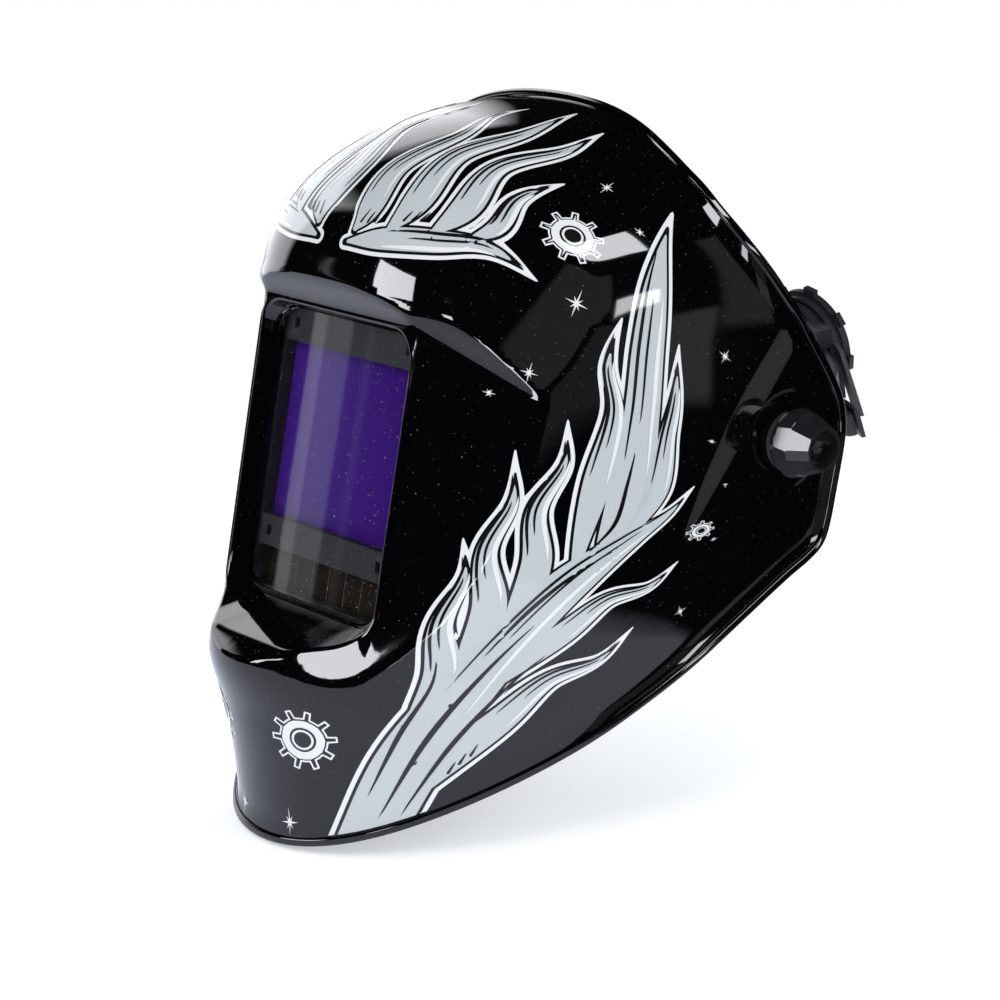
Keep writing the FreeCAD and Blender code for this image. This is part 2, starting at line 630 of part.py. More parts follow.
facets = Part.makeLoft([octagon(17.2, KNOB_X[0] - 0.1), octagon(11.3, KNOB_X[1] + 0.1)], True, True)
knob = knob.common(facets)
for i in range(8):
    a = math.pi / 8 * (2 * i + 1)
    foot = V(KNOB_X[1] - 9.5, 17.2 * math.cos(a), 17.2 * math.sin(a))
    tip = V(KNOB_X[1] + 1.0, 14.6 * math.cos(a), 14.6 * math.sin(a))
    knob = knob.cut(rod(3.3, foot, tip))
knob = knob.cut(rod_x(8.9, 126.5, KNOB_X[1] + 1))
knob = knob.cut(rod_x(BOLT_R + 0.4, KNOB_X[0] - 1, KNOB_X[1] + 1))
knob = knob.cut(rod_x(INSERT_R, INSERT_X[0], KNOB_X[1] + 1))
on_both_sides("tension_knob", knob)


# ---------------------------------------------------------------- headband
def oval_ring(a0, a1, length, z0, z1, middle=0.0, spread=90.0):
    """Front of the band loop between two offsets; angles are from straight ahead."""
    half, fore = BAND_HALF, BAND_FRONT
    centre = V(0, ARC_Y, z0)

    def disc(offset):
        major, minor = fore + offset, half + offset
        e = Part.Ellipse(centre + V(0, -major, 0), centre + V(minor, 0, 0), centre)
        return Part.Face(Part.Wire(e.toShape())).extrude(V(0, 0, z1 - z0))

    ring = disc(a1).cut(disc(a0))
    reach = 2 * length
    lo, hi = math.radians(middle - spread), math.radians(middle + spread)
    pts = [centre]
    for i in range(5):
        t = lo + (hi - lo) * i / 4
        pts.append(centre + V(reach * math.sin(t), -reach * math.cos(t), 0))
    wedge = Part.Face(Part.makePolygon(pts + [centre])).extrude(V(0, 0, z1 - z0))
    return ring.common(wedge)


def arc_strip(r0, r1, from_deg, to_deg, z0, z1):
    """Strip about the rear arc's centre; angles run from straight back to the wearer's left."""
    centre = V(0, ARC_Y, z0)
    ring = Part.makeCylinder(r1, z1 - z0, centre).cut(Part.makeCylinder(r0, z1 - z0, centre))
    pts = [centre]
    steps = 6
    for i in range(steps + 1):
        t = math.radians(from_deg + (to_deg - from_deg) * i / steps)
        pts.append(centre + V(2 * r1 * math.sin(t), 2 * r1 * math.cos(t), 0))
    wedge = Part.Face(Part.makePolygon(pts + [centre])).extrude(V(0, 0, z1 - z0))
    return ring.common(wedge)


def at_arc(shape, degrees):
    """Turn a shape drawn at the back of the arc to an angle towards the wearer's left."""
    s = shape.copy()
    s.rotate(V(0, ARC_Y, 0), V(0, 0, 1), -degrees)
    return s


BAND_LOW, BAND_HIGH = BAND_LEVEL - 12.0, BAND_LEVEL + 12.0
KEEPER = (58.0, 62.0)
t = BAND_T / 2
band = oval_ring(-t, t, 130, BAND_LOW, BAND_HIGH)
band = band.fuse(oval_ring(-t, t, 130, BAND_HIGH - 1, BAND_HIGH + 9, 0.0, 34.0))
band_outer = BAND_HALF + t
for sign, strap in ((1, STRAP_L), (-1, STRAP_R)):
    ends = sorted((sign * 90.0, sign * 56.0))
    band = band.fuse(arc_strip(BAND_HALF - t, band_outer, ends[0], ends[1], BAND_LOW, BAND_HIGH))
    ends = sorted((sign * KEEPER[0], sign * KEEPER[1]))
    keeper = arc_strip(band_outer - 0.5, strap[1] + 1.8, ends[0], ends[1], BAND_LOW, BAND_HIGH)
    keeper = keeper.cut(arc_strip(
        max(strap[0] - GAP, band_outer), strap[1] + GAP, ends[0] - 2, ends[1] + 2,
        BAND_LEVEL - STRAP_HALF_H - GAP, BAND_LEVEL + STRAP_HALF_H + GAP))
    band = band.fuse(keeper)
for i in range(-2, 3):
    x = i * 21.0
    band = band.cut(box(x - 6, x + 6, -110, -70, BAND_LEVEL + 2.5, BAND_LEVEL + 5.5))
RIVETS = [(-26.0, BAND_LEVEL - 6.0), (-26.0, BAND_LEVEL + 6.0)]
for y, z in RIVETS:
    band = band.cut(rod_x(2.0 + RUN, -95, 95, y, z))
save("headband_front", in_gear(band))

save("sweatband_front", in_gear(oval_ring(-t - 6.1, -t - 0.1, 130, BAND_LOW + 1, BAND_HIGH + 7, 0.0, 53.0)))

# side bracket: flat plate on two spacers, with the round hub that carries the pivot bolt
def plate_x(x0, x1, y0, y1, z0, z1, corner):
    slab = box(x0, x1, y0, y1, z0, z1)
    return slab.makeFillet(corner, [e for e in slab.Edges if abs(e.BoundBox.XLength - (x1 - x0)) < 0.01])


plate = plate_x(BRACKET_X, BRACKET_X + 3, -34, 20, BAND_LOW - 1, 16, 5.0)
plate = plate.fuse(plate_x(BRACKET_X, BRACKET_X + 3, -11, 11, 0, 34, 5.0))
for y, z in RIVETS:
    plate = plate.fuse(rod_x(5.0, 75.0, BRACKET_X + 1, y, z).cut(oval_ring(-60, t, 130, -60, 60, 90, 88)))
hub = Part.makeCone(20.0, 17.0, HUB_X - BRACKET_X - 2, V(BRACKET_X + 2, 0, 0), V(1, 0, 0))
plate = plate.fuse(hub).cut(rod_x(10.0, BRACKET_X - 20, 97.6))
plate = plate.cut(square_x(4.6, 95, HUB_X + 1, 0))
for y, z in RIVETS + [(0.0, 27.0)]:
    plate = plate.cut(rod_x(2.0 + RUN, 60, 100, y, z))
on_both_sides("side_bracket", in_gear(plate))

# rivets through the band and the brackets
rivets = []
for y, z in RIVETS:
    inner = BAND_HALF * math.sqrt(1 - ((ARC_Y - y) / BAND_FRONT) ** 2) - t
    rivet = rod_x(2.0, inner - 2.0, BRACKET_X + 4.2, y, z)
    rivet = rivet.fuse(rod_x(3.4, inner - 3.0, inner - 1.6, y, z))
    rivets.append(rivet.fuse(rod_x(3.6, BRACKET_X + 3.05, BRACKET_X + 4.4, y, z)))
save("bracket_rivets", in_gear(group(rivets + [mirror(r) for r in rivets])))


# ---------------------------------------------------------------- crown strap
ARCH_Z, ARCH_HALF, ARCH_RISE = 14.0, 84.0, 72.0
STRAP_W = 8.0


def arch(offset0, offset1, from_deg, to_deg, width=STRAP_W):
    """Part of the arch over the head; angles rise from the wearer's left."""
    centre = V(0, -width, ARCH_Z)

    def disc(offset):
        a, b = ARCH_HALF + offset, ARCH_RISE + offset
        e = Part.Ellipse(centre + V(a, 0, 0), centre + V(0, 0, b), centre)
        return Part.Face(Part.Wire(e.toShape())).extrude(V(0, 2 * width, 0))

    ring = disc(offset1).cut(disc(offset0))
    pts = [centre]
    for i in range(7):
        a = math.radians(from_deg + (to_deg - from_deg) * i / 6)
        pts.append(centre + V(300 * math.cos(a), 0, 300 * math.sin(a)))
    return ring.common(Part.Face(Part.makePolygon(pts + [centre])).extrude(V(0, 2 * width, 0)))


PIN_ANGLES = (86.0, 94.0)


def arch_pin(angle, radius, low, high):
    a = math.radians(angle)
    at = V(ARCH_HALF * math.cos(a), 0, ARCH_Z + ARCH_RISE * math.sin(a))
    out = V(math.cos(a) / ARCH_HALF, 0, math.sin(a) / ARCH_RISE)
    out.normalize()
    return rod(radius, at + out * low, at + out * high)


strap_left = arch(0.0, 1.8, 0.0, 100.0)
strap_left = strap_left.fuse(box(ARCH_HALF, ARCH_HALF + 1.8, -STRAP_W, STRAP_W, ARCH_Z, ARCH_Z + 0.5))
strap_right = arch(0.0, 1.8, 104.0, 180.0).fuse(arch(2.0, 3.8, 80.0, 106.0)).fuse(arch(0.0, 3.8, 104.0, 106.0))
for angle in PIN_ANGLES:
    strap_left = strap_left.cut(arch_pin(angle, 1.9 + RUN, -5, 8))
    strap_right = strap_right.cut(arch_pin(angle, 1.9 + RUN, -5, 8))
for angle in (70.0, 78.0):
    strap_left = strap_left.cut(arch_pin(angle, 1.9 + RUN, -5, 8))
for x0 in (60, -100):
    strap_left = strap_left.cut(rod_x(2.0 + RUN, x0, x0 + 40, 0.0, 27.0))
    strap_right = strap_right.cut(rod_x(2.0 + RUN, x0, x0 + 40, 0.0, 27.0))
save("crown_strap_left", in_gear(strap_left))
save("crown_strap_right", in_gear(strap_right))
save("crown_strap_pins", in_gear(group([
    arch_pin(a, 1.9, -1.0, 5.4).fuse(arch_pin(a, 3.2, -1.6, -0.1)).fuse(arch_pin(a, 3.0, 3.9, 5.4)) for a in PIN_ANGLES])))
save("crown_pad", in_gear(arch(-7.0, -1.8, 58.0, 122.0, 13.0)))

strap_rivet = rod_x(2.0, 80.4, BRACKET_X + 4.2, 0, 27.0)
strap_rivet = strap_rivet.fuse(rod_x(3.6, 80.0, 81.6, 0, 27.0)).fuse(rod_x(3.6, BRACKET_X + 3.05, BRACKET_X + 4.4, 0, 27.0))
save("crown_strap_rivets", in_gear(group([strap_rivet, mirror(strap_rivet)])))


# ---------------------------------------------------------------- ratchet at the nape
ADD, DED, BACKLASH = 0.8 * MODULE, 1.0 * MODULE, 0.22
PRESSURE = math.radians(25)
TRAVEL = 216.0             # the knob turns this far each way
THROW = math.radians(TRAVEL) * PINION_PITCH


def rack_strap(radii, sign):
    """sign +1: the wearer's left strap, racked below the pinion; -1: the right one, above it."""
    r0, r1 = radii
    mid = (r0 + r1) / 2
    swing = math.degrees(THROW / mid)
    reach = math.degrees((PINION_PITCH + ADD + 0.6) / mid)
    slot = swing + reach
    ends = sorted((-sign * (slot + 3.0), sign * 76.0))
    strap = arc_strip(r0, r1, ends[0], ends[1], BAND_LEVEL - STRAP_HALF_H, BAND_LEVEL + STRAP_HALF_H)
    root = PINION_PITCH + DED
    clear = PINION_PITCH + ADD + 0.5
    low, high = (-root, clear) if sign > 0 else (-clear, root)
    opening = arc_strip(r0 - 1, r1 + 1, -slot, slot, BAND_LEVEL + low, BAND_LEVEL + high)
    pitch = math.degrees(math.pi * MODULE / mid)
    count = int((slot - 0.4) / pitch)
    half = math.pi * MODULE / 4 - BACKLASH / 4
    tip, base = half - ADD * math.tan(PRESSURE), half + DED * math.tan(PRESSURE)
    z_tip, z_root = -sign * (PINION_PITCH - ADD), -sign * (PINION_PITCH + DED + 0.5)
    y0 = ARC_Y + r0 - 2
    tooth = Part.Face(Part.makePolygon([
        V(-base, y0, BAND_LEVEL + z_root), V(base, y0, BAND_LEVEL + z_root),
        V(tip, y0, BAND_LEVEL + z_tip), V(-tip, y0, BAND_LEVEL + z_tip),
        V(-base, y0, BAND_LEVEL + z_root)])).extrude(V(0, r1 - r0 + 4, 0))
    opening = opening.cut(group([at_arc(tooth, (i + 0.5) * pitch) for i in range(-count, count)]))
    return strap.cut(opening)


save("rack_strap_left", in_gear(rack_strap(STRAP_L, 1)))
save("rack_strap_right", in_gear(rack_strap(STRAP_R, -1)))


def pinion_profile(y):
    """Involute pinion with a tooth that points straight down."""
    base_r = PINION_PITCH * math.cos(PRESSURE)
    tip_r, root_r = PINION_PITCH + ADD, PINION_PITCH - DED - 0.2
    half = math.pi / (2 * TEETH) - BACKLASH / (4 * PINION_PITCH)
    spread = math.tan(PRESSURE) - PRESSURE
    pts = []
    for i in range(TEETH):
        middle = -math.pi / 2 + 2 * math.pi * i / TEETH
        flank = []
        for k in range(6):
            r = base_r + (tip_r - base_r) * k / 5
            roll = math.sqrt(max((r / base_r) ** 2 - 1, 0))
            flank.append((r, half + spread - (roll - math.atan(roll))))
        flank = [(root_r, flank[0][1])] + flank
        for r, a in flank:
            pts.append(V(r * math.cos(middle - a), y, BAND_LEVEL + r * math.sin(middle - a)))
        for r, a in reversed(flank):
            pts.append(V(r * math.cos(middle + a), y, BAND_LEVEL + r * math.sin(middle + a)))
    return Part.makePolygon(pts + [pts[0]])


def at_nape(r, y0, y1, x=0.0, z=0.0):
    return rod_y(r, y0, y1, x, BAND_LEVEL + z)


PINION_Y = (ARC_Y + STRAP_L[0] - 0.2, ARC_Y + STRAP_R[1] + 0.3)
KNOB_BACK = 124.5          # the ratchet knob's rear face
DRUM_Y = 116.0
pinion = Part.Face(pinion_profile(PINION_Y[0])).extrude(V(0, PINION_Y[1] - PINION_Y[0], 0))
pinion = pinion.fuse(at_nape(3.2, PINION_Y[0] - 2.2, DRUM_Y - 2.5))
pinion = pinion.fuse(box(-2.9, 2.9, DRUM_Y - 2.6, KNOB_BACK - 3.0, BAND_LEVEL - 2.9, BAND_LEVEL + 2.9))
pinion = pinion.cut(at_nape(1.2, PINION_Y[1] + 3.0, KNOB_BACK))
save("ratchet_pinion", in_gear(pinion))

# housing: a curved inner plate, and an outer body whose drum holds the click teeth
HOUSE_DEG, HOUSE_LOW, HOUSE_HIGH = 24.0, BAND_LEVEL - 19.0, BAND_LEVEL + 19.0
inner = arc_strip(STRAP_L[0] - 2.6, STRAP_L[0] - 0.3, -HOUSE_DEG, HOUSE_DEG, HOUSE_LOW, HOUSE_HIGH)
inner = inner.cut(at_nape(3.2 + RUN, 90, 120))
HOUSE_SCREWS = [(x, z) for x in (-26.0, 26.0) for z in (-14.5, 14.5)]
outer = arc_strip(STRAP_L[0] - 0.25, STRAP_R[1] + 2.4, -HOUSE_DEG, HOUSE_DEG, HOUSE_LOW, HOUSE_HIGH)
outer = outer.fuse(at_nape(24.0, ARC_Y + 87.5, DRUM_Y).cut(Part.makeCylinder(STRAP_R[1] + 1, 80, V(0, ARC_Y, -50))))
outer = outer.cut(arc_strip(
    STRAP_L[0] - 1, STRAP_R[1] + 0.25, -30, 30, BAND_LEVEL - STRAP_HALF_H - GAP, BAND_LEVEL + STRAP_HALF_H + GAP))
outer = outer.cut(at_nape(PINION_PITCH + ADD + 0.4, ARC_Y + 80, PINION_Y[1] + 0.3))
outer = outer.cut(at_nape(3.2 + RUN, ARC_Y + 80, 125))
click = at_nape(19.0, DRUM_Y - 2.6, DRUM_Y + 1)
CLICKS = 40
for i in range(CLICKS):
    a = 2 * math.pi * i / CLICKS
    click = click.fuse(at_nape(0.9, DRUM_Y - 2.6, DRUM_Y + 1, 19.2 * math.cos(a), 19.2 * math.sin(a)))
outer = outer.cut(click)
for x, z in HOUSE_SCREWS:
    inner = inner.cut(at_nape(1.3 + RUN, 90, 118, x, z))
    outer = outer.cut(at_nape(1.3 + RUN, 90, 118, x, z))
save("ratchet_housing_inner", in_gear(inner))
screws = []
for x, z in HOUSE_SCREWS:
    face = ARC_Y + math.sqrt((STRAP_L[0] - 2.6) ** 2 - x * x)
    screws.append(at_nape(1.3, face - 1.0, face + 7.4, x, z).fuse(at_nape(2.4, face - 2.8, face - 0.9, x, z)))
save("housing_screws", in_gear(group(screws)))

# click wheel: spring arms that ride on the drum's teeth
wheel = at_nape(9.0, DRUM_Y - 2.3, DRUM_Y - 0.3)
for i in range(4):
    a = math.pi / 2 * i
    arm = Part.makeCylinder(17.6, 2.0, V(0, DRUM_Y - 2.3, BAND_LEVEL), V(0, 1, 0), 70)
    arm = arm.cut(at_nape(15.4, DRUM_Y - 3, DRUM_Y + 1))
    arm = arm.fuse(box(-1.2, 1.2, DRUM_Y - 2.3, DRUM_Y - 0.3, BAND_LEVEL + 8, BAND_LEVEL + 17.0))
    arm.rotate(V(0, 0, BAND_LEVEL), V(0, 1, 0), math.degrees(a))
    wheel = wheel.fuse(arm)
wheel = wheel.cut(box(-3.0, 3.0, DRUM_Y - 4, DRUM_Y + 2, BAND_LEVEL - 3.0, BAND_LEVEL + 3.0))
save("click_wheel", in_gear(wheel))

# ratchet knob: dished face, castellated rim
rknob = at_nape(28.0, DRUM_Y + 4.5, KNOB_BACK).fuse(at_nape(26.2, DRUM_Y + 0.2, DRUM_Y + 5))
rknob = rknob.cut(at_nape(24.6, DRUM_Y, DRUM_Y + 2.2))
for i in range(8):
    a = math.radians(45 * i + 12)
    lug = box(-3.6, 3.6, DRUM_Y + 5.0, KNOB_BACK - 0.4, BAND_LEVEL + 24, BAND_LEVEL + 30.6)
    lug.rotate(V(0, 0, BAND_LEVEL), V(0, 1, 0), math.degrees(a))
    rknob = rknob.fuse(lug)
rknob = rknob.cut(Part.makeCone(19.0, 23.0, 3.0, V(0, KNOB_BACK - 2.9, BAND_LEVEL), V(0, 1, 0)))
rknob = rknob.fuse(at_nape(10.0, KNOB_BACK - 3.5, KNOB_BACK - 1.2))
rknob = rknob.cut(box(-3.0, 3.0, DRUM_Y - 1, KNOB_BACK - 2.8, BAND_LEVEL - 3.0, BAND_LEVEL + 3.0))
rknob = rknob.cut(at_nape(7.6, KNOB_BACK - 2.8, KNOB_BACK + 1))
save("ratchet_knob", in_gear(rknob))
cap = at_nape(7.5, KNOB_BACK - 1.8, KNOB_BACK - 0.6).fuse(at_nape(6.0, KNOB_BACK - 1.8, KNOB_BACK - 0.2))
save("ratchet_knob_cap", in_gear(cap))
rscrew = at_nape(1.2, PINION_Y[1] + 4.6, KNOB_BACK - 2.7).fuse(at_nape(2.8, KNOB_BACK - 2.75, KNOB_BACK - 1.9))
save("ratchet_screw", in_gear(rscrew))


# nape plate: two flared wings under the drum, joined below it, with a soft pad inside
def flare(low_r, high_r, thick, z0, z1, from_deg, to_deg):
    cone_out = Part.makeCone(low_r + thick, high_r + thick, z1 - z0, V(0, ARC_Y, z0))
    cone_in = Part.makeCone(low_r, high_r, z1 - z0, V(0, ARC_Y, z0))
    return cone_out.cut(cone_in).common(arc_strip(10, 130, from_deg, to_deg, z0, z1))


NAPE_TOP, NAPE_LOW = 1.7, -34.5
NAPE_R, NAPE_T = (89.4, 96.0), 2.2
BRIDGE_LOW = -50.5
HOUSE_R = STRAP_R[1] + 2.4
knob_way = at_nape(32.0, DRUM_Y - 0.1, 140)
wings = flare(NAPE_R[1], NAPE_R[0], NAPE_T, NAPE_LOW, NAPE_TOP, -34, 34)
wings = wings.cut(arc_strip(60, 130, -25, 25, NAPE_LOW - 1, NAPE_TOP + 1))
plate = wings.fuse(flare(NAPE_R[1] + 2.4, NAPE_R[1], NAPE_T, BRIDGE_LOW, NAPE_LOW, -27, 27).cut(knob_way))
foot_screws = []
for side in (1, -1):
    ends = sorted((side * 16.5, side * 26.0))
    plate = plate.fuse(arc_strip(HOUSE_R + 0.05, HOUSE_R + 2.3, ends[0], ends[1], HOUSE_LOW + 1.5, BAND_LEVEL + 3.0))
    hole = at_arc(rod_y(1.3 + RUN, ARC_Y + STRAP_L[0], ARC_Y + HOUSE_R + 4, 0, HOUSE_LOW + 5.2), side * 21.0)
    screw = rod_y(1.3, ARC_Y + STRAP_L[0] + 1, ARC_Y + HOUSE_R + 2.5, 0, HOUSE_LOW + 5.2)
    screw = screw.fuse(rod_y(2.4, ARC_Y + HOUSE_R + 2.4, ARC_Y + HOUSE_R + 3.9, 0, HOUSE_LOW + 5.2))
    foot_screws.append(at_arc(screw, side * 21.0))
    plate = plate.cut(hole)
    outer = outer.cut(hole)
save("nape_plate", in_gear(plate.removeSplitter()))
save("nape_screws", in_gear(group(foot_screws)))
pad = flare(90.5, 89.5, 7.8, BRIDGE_LOW, NAPE_LOW - 1.5, -26, 26).cut(knob_way)
pad = pad.cut(flare(NAPE_R[1] + 2.3, NAPE_R[1] - 0.1, 10, BRIDGE_LOW, NAPE_LOW, -40, 40))
save("nape_pad", in_gear(pad))
save("ratchet_housing_outer", in_gear(outer))
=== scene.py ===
import json
import math

import bmesh
import bpy
import numpy as np
from mathutils import Matrix, Vector, geometry

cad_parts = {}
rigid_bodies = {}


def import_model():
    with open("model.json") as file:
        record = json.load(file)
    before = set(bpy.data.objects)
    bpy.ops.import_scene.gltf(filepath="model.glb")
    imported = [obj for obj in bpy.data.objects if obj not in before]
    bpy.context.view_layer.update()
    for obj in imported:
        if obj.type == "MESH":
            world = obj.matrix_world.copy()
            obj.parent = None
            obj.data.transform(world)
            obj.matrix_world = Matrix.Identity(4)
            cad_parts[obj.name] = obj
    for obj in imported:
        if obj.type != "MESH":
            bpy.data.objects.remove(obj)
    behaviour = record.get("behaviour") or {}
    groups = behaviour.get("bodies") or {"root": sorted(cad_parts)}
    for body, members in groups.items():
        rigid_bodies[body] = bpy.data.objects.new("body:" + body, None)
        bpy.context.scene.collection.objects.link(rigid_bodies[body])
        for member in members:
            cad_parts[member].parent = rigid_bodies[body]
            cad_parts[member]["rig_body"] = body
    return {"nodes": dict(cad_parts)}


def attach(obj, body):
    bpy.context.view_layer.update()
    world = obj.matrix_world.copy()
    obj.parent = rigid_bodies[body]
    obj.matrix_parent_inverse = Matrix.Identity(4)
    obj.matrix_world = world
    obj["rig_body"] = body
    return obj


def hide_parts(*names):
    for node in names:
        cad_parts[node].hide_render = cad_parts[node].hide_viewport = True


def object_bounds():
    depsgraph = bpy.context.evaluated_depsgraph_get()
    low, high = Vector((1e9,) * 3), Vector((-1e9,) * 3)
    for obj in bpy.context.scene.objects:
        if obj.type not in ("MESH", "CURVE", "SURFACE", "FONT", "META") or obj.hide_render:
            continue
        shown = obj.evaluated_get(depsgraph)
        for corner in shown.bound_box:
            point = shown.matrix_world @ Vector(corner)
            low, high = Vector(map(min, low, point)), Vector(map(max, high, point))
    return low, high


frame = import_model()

cad_low, cad_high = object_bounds()
bpy.ops.object.select_all(action="DESELECT")

# ---------------------------------------------------------------------------
# Studio: a white table that runs into a white backdrop, soft lamps round it, and
# the camera in front of the wearer's left shoulder. Lengths here are in metres.
# ---------------------------------------------------------------------------
scene = bpy.context.scene
scene.view_settings.view_transform = "Standard"


def new_material(name):
    material = bpy.data.materials.new(name)
    material.use_nodes = True
    material.node_tree.nodes.clear()
    return material


class Socket:
    """A node's output, on which + - * / < > build Math nodes."""

    def __init__(self, tree, link):
        self.tree, self.link = tree, link

    def math(self, operation, other=0.0, third=None):
        node = self.tree.nodes.new("ShaderNodeMath")
        node.operation = operation
        for slot, value in enumerate((self, other, third)):
            if isinstance(value, Socket):
                self.tree.links.new(value.link, node.inputs[slot])
            elif value is not None:
                node.inputs[slot].default_value = value
        return Socket(self.tree, node.outputs[0])

    def __add__(self, other):
        return self.math("ADD", other)

    __radd__ = __add__

    def __mul__(self, other):
        return self.math("MULTIPLY", other)

    __rmul__ = __mul__

    def __sub__(self, other):
        return self.math("SUBTRACT", other)

    def __rsub__(self, other):
        return (self * -1.0).math("ADD", other)

    def __gt__(self, other):
        return self.math("GREATER_THAN", other)

    def __lt__(self, other):
        return self.math("LESS_THAN", other)

    def power(self, exponent):
        return self.math("POWER", exponent)

    def clamped(self):
        node = self.math("ADD", 0.0)
        node.link.node.use_clamp = True
        return node

    def between(self, low, high):
        """0 below low, 1 above high, straight between."""
        return ((self - low) * (1.0 / (high - low))).clamped()


class Maker:
    """Adds nodes to one material's or world's tree."""

    def __init__(self, tree):
        self.tree = tree

    def node(self, kind, settings=None, inputs=None, output=0):
        made = self.tree.nodes.new(kind)
        for name, value in (settings or {}).items():
            if name == "stops":
                ramp = made.color_ramp
                while len(ramp.elements) < len(value):
                    ramp.elements.new(0.5)
                for element, (place, colour) in zip(ramp.elements, value):
                    element.position, element.color = place, colour
            else:
                setattr(made, name, value)
        for name, value in (inputs or {}).items():
            if isinstance(value, Socket):
                self.tree.links.new(value.link, made.inputs[name])
            else:
                made.inputs[name].default_value = value
        return Socket(self.tree, made.outputs[output])

    def place(self, scale=(1, 1, 1), turn=(0, 0, 0), shift=(0, 0, 0)):
        where = self.node("ShaderNodeTexCoord", output=3)
        return self.node("ShaderNodeMapping", {}, {
            "Vector": where, "Scale": scale, "Rotation": turn, "Location": shift})

    def noise(self, scale, detail=2.0, rough=0.5, stretch=(1, 1, 1)):
        return self.node("ShaderNodeTexNoise", {}, {
            "Vector": self.place(stretch), "Scale": scale, "Detail": detail, "Roughness": rough})

    def blend(self, factor, first, second):
        """Mix of two colours; first at factor 0."""
        return self.node("ShaderNodeMix", {"data_type": "RGBA"}, {0: factor, 6: first, 7: second}, output=2)

    def bump(self, height, strength, distance, normal=None):
        inputs = {"Height": height, "Strength": strength, "Distance": distance}
        if normal is not None:
            inputs["Normal"] = normal
        return self.node("ShaderNodeBump", {}, inputs)

    def finish(self, shader):
        out = self.tree.nodes.new("ShaderNodeOutputMaterial")
        self.tree.links.new(shader.link, out.inputs["Surface"])


def colour(r, g, b):
    return (r, g, b, 1.0)


WHITE = colour(1, 1, 1)

# the air is white to the lens, plain light to dull surfaces, and a black room with
# white walls on the wearer's right and a few bright cards to whatever is glossy
world = bpy.data.worlds.new("studio_air")
scene.world = world
world.use_nodes = True
world.node_tree.nodes.clear()
air = Maker(world.node_tree)
seen = air.node("ShaderNodeLightPath", output="Is Camera Ray")
mirrored = air.node("ShaderNodeLightPath", output="Is Glossy Ray")
through_glass = air.node("ShaderNodeLightPath", output="Is Transmission Ray")
heading = air.node("ShaderNodeTexCoord", output=0)
east, north, up = (air.node("ShaderNodeSeparateXYZ", {}, {0: heading}, output=k) for k in range(3))
turn = east.math("ARCTAN2", north * -1.0) * math.degrees(1)
height = up.math("ARCSINE") * math.degrees(1)


def card(turn_low, turn_high, low, high, brightness, soft=0.4):
    """A lit card that fills this range of headings and heights, in degrees."""
    across = turn.between(turn_low, turn_low + soft) * (1.0 - turn.between(turn_high - soft, turn_high))
    along = height.between(low, low + soft) * (1.0 - height.between(high - soft, high))
    return across * along * brightness


AIR_LIGHT = 0.78
cards = card(-128, -68, -90, 36, 2.6, soft=4.0)          # white wall on the wearer's right
cards = cards + card(-34, -3, 8, 23, 16.0)               # soft box over the forehead
cards = cards + card(86, 118, 22, 38, 15.0)              # the same on the temple
cards = cards + card(107, 117.5, -1.5, 3, 12.0)
cards = cards + card(24, 35, 4.5, 16, 17.0)                # two boxes that the lip mirrors
cards = cards + card(46, 62, -20, -9, 17.0)
cards = cards + card(128, 136, -10, 22, 0.32, soft=1.5)  # pale wall behind the wearer's left
cards = cards + card(117, 128.5, -12, -5, 0.5, soft=1.0)
cards = cards + card(88, 117, -12, -3, 0.22, soft=1.5)
cards = cards + card(76, 106, 0, 14, 0.34, soft=1.0)
cards = cards + card(139, 150, -21, -12, 0.42)
slanted = turn + height * 0.14                           # two strips that the filter mirrors
strips = slanted.between(-53.06, -53.02) * (1.0 - slanted.between(-52.81, -52.77)) * 1.1
strips = strips + slanted.between(-52.81, -52.77) * (1.0 - slanted.between(-52.32, -52.26)) * 0.5
strips = strips + slanted.between(-52.05, -51.95) * (1.0 - slanted.between(-51.9, -51.8)) * 0.12
cards = cards + strips * height.between(-12, -11) * (1.0 - height.between(11, 12))
plain = (seen + through_glass).clamped()
strength = plain + mirrored * (1.0 - plain) * (cards + 0.004)
strength = strength + (1.0 - (plain + mirrored).clamped()) * AIR_LIGHT
tone = air.blend(plain, colour(0.95, 0.97, 1.0), WHITE)
glow = air.node("ShaderNodeBackground", {}, {"Color": tone, "Strength": strength})
world_out = world.node_tree.nodes.new("ShaderNodeOutputWorld")
world.node_tree.links.new(glow.link, world_out.inputs["Surface"])

# white table under the chin; gloss sees it only as far as its edge, then the dark room
bpy.ops.mesh.primitive_plane_add(size=6.0, location=(0, 0, 0))
table = bpy.context.object
table.name = "table_top"
for vert in table.data.vertices:
    vert.co.z = cad_low.z - 0.0005
top = Maker(new_material("table_white").node_tree)
table.data.materials.append(bpy.data.materials["table_white"])
on_table = top.node("ShaderNodeTexCoord", output=3)
table_x = top.node("ShaderNodeSeparateXYZ", {}, {0: on_table}, output=0)
table_y = top.node("ShaderNodeSeparateXYZ", {}, {0: on_table}, output=1)
past_right = (table_x + table_y * 0.35).between(0.355, 0.385)
past_front = (table_y * -1.0).between(0.56, 0.60) * (table_x - table_y * 2.05).between(0.0, 0.15)
past = (past_right + past_front).clamped()
in_mirror = top.node("ShaderNodeLightPath", output="Is Glossy Ray")
paper = top.node("ShaderNodeBsdfPrincipled", {}, {
    "Base Color": colour(0.90, 0.91, 0.93), "Roughness": 0.7, "Specular IOR Level": 0.1})
lift = top.node("ShaderNodeEmission", {}, {"Color": colour(0.93, 0.96, 1.0), "Strength": 0.42})
lit = top.node("ShaderNodeAddShader", {}, {0: paper, 1: lift})
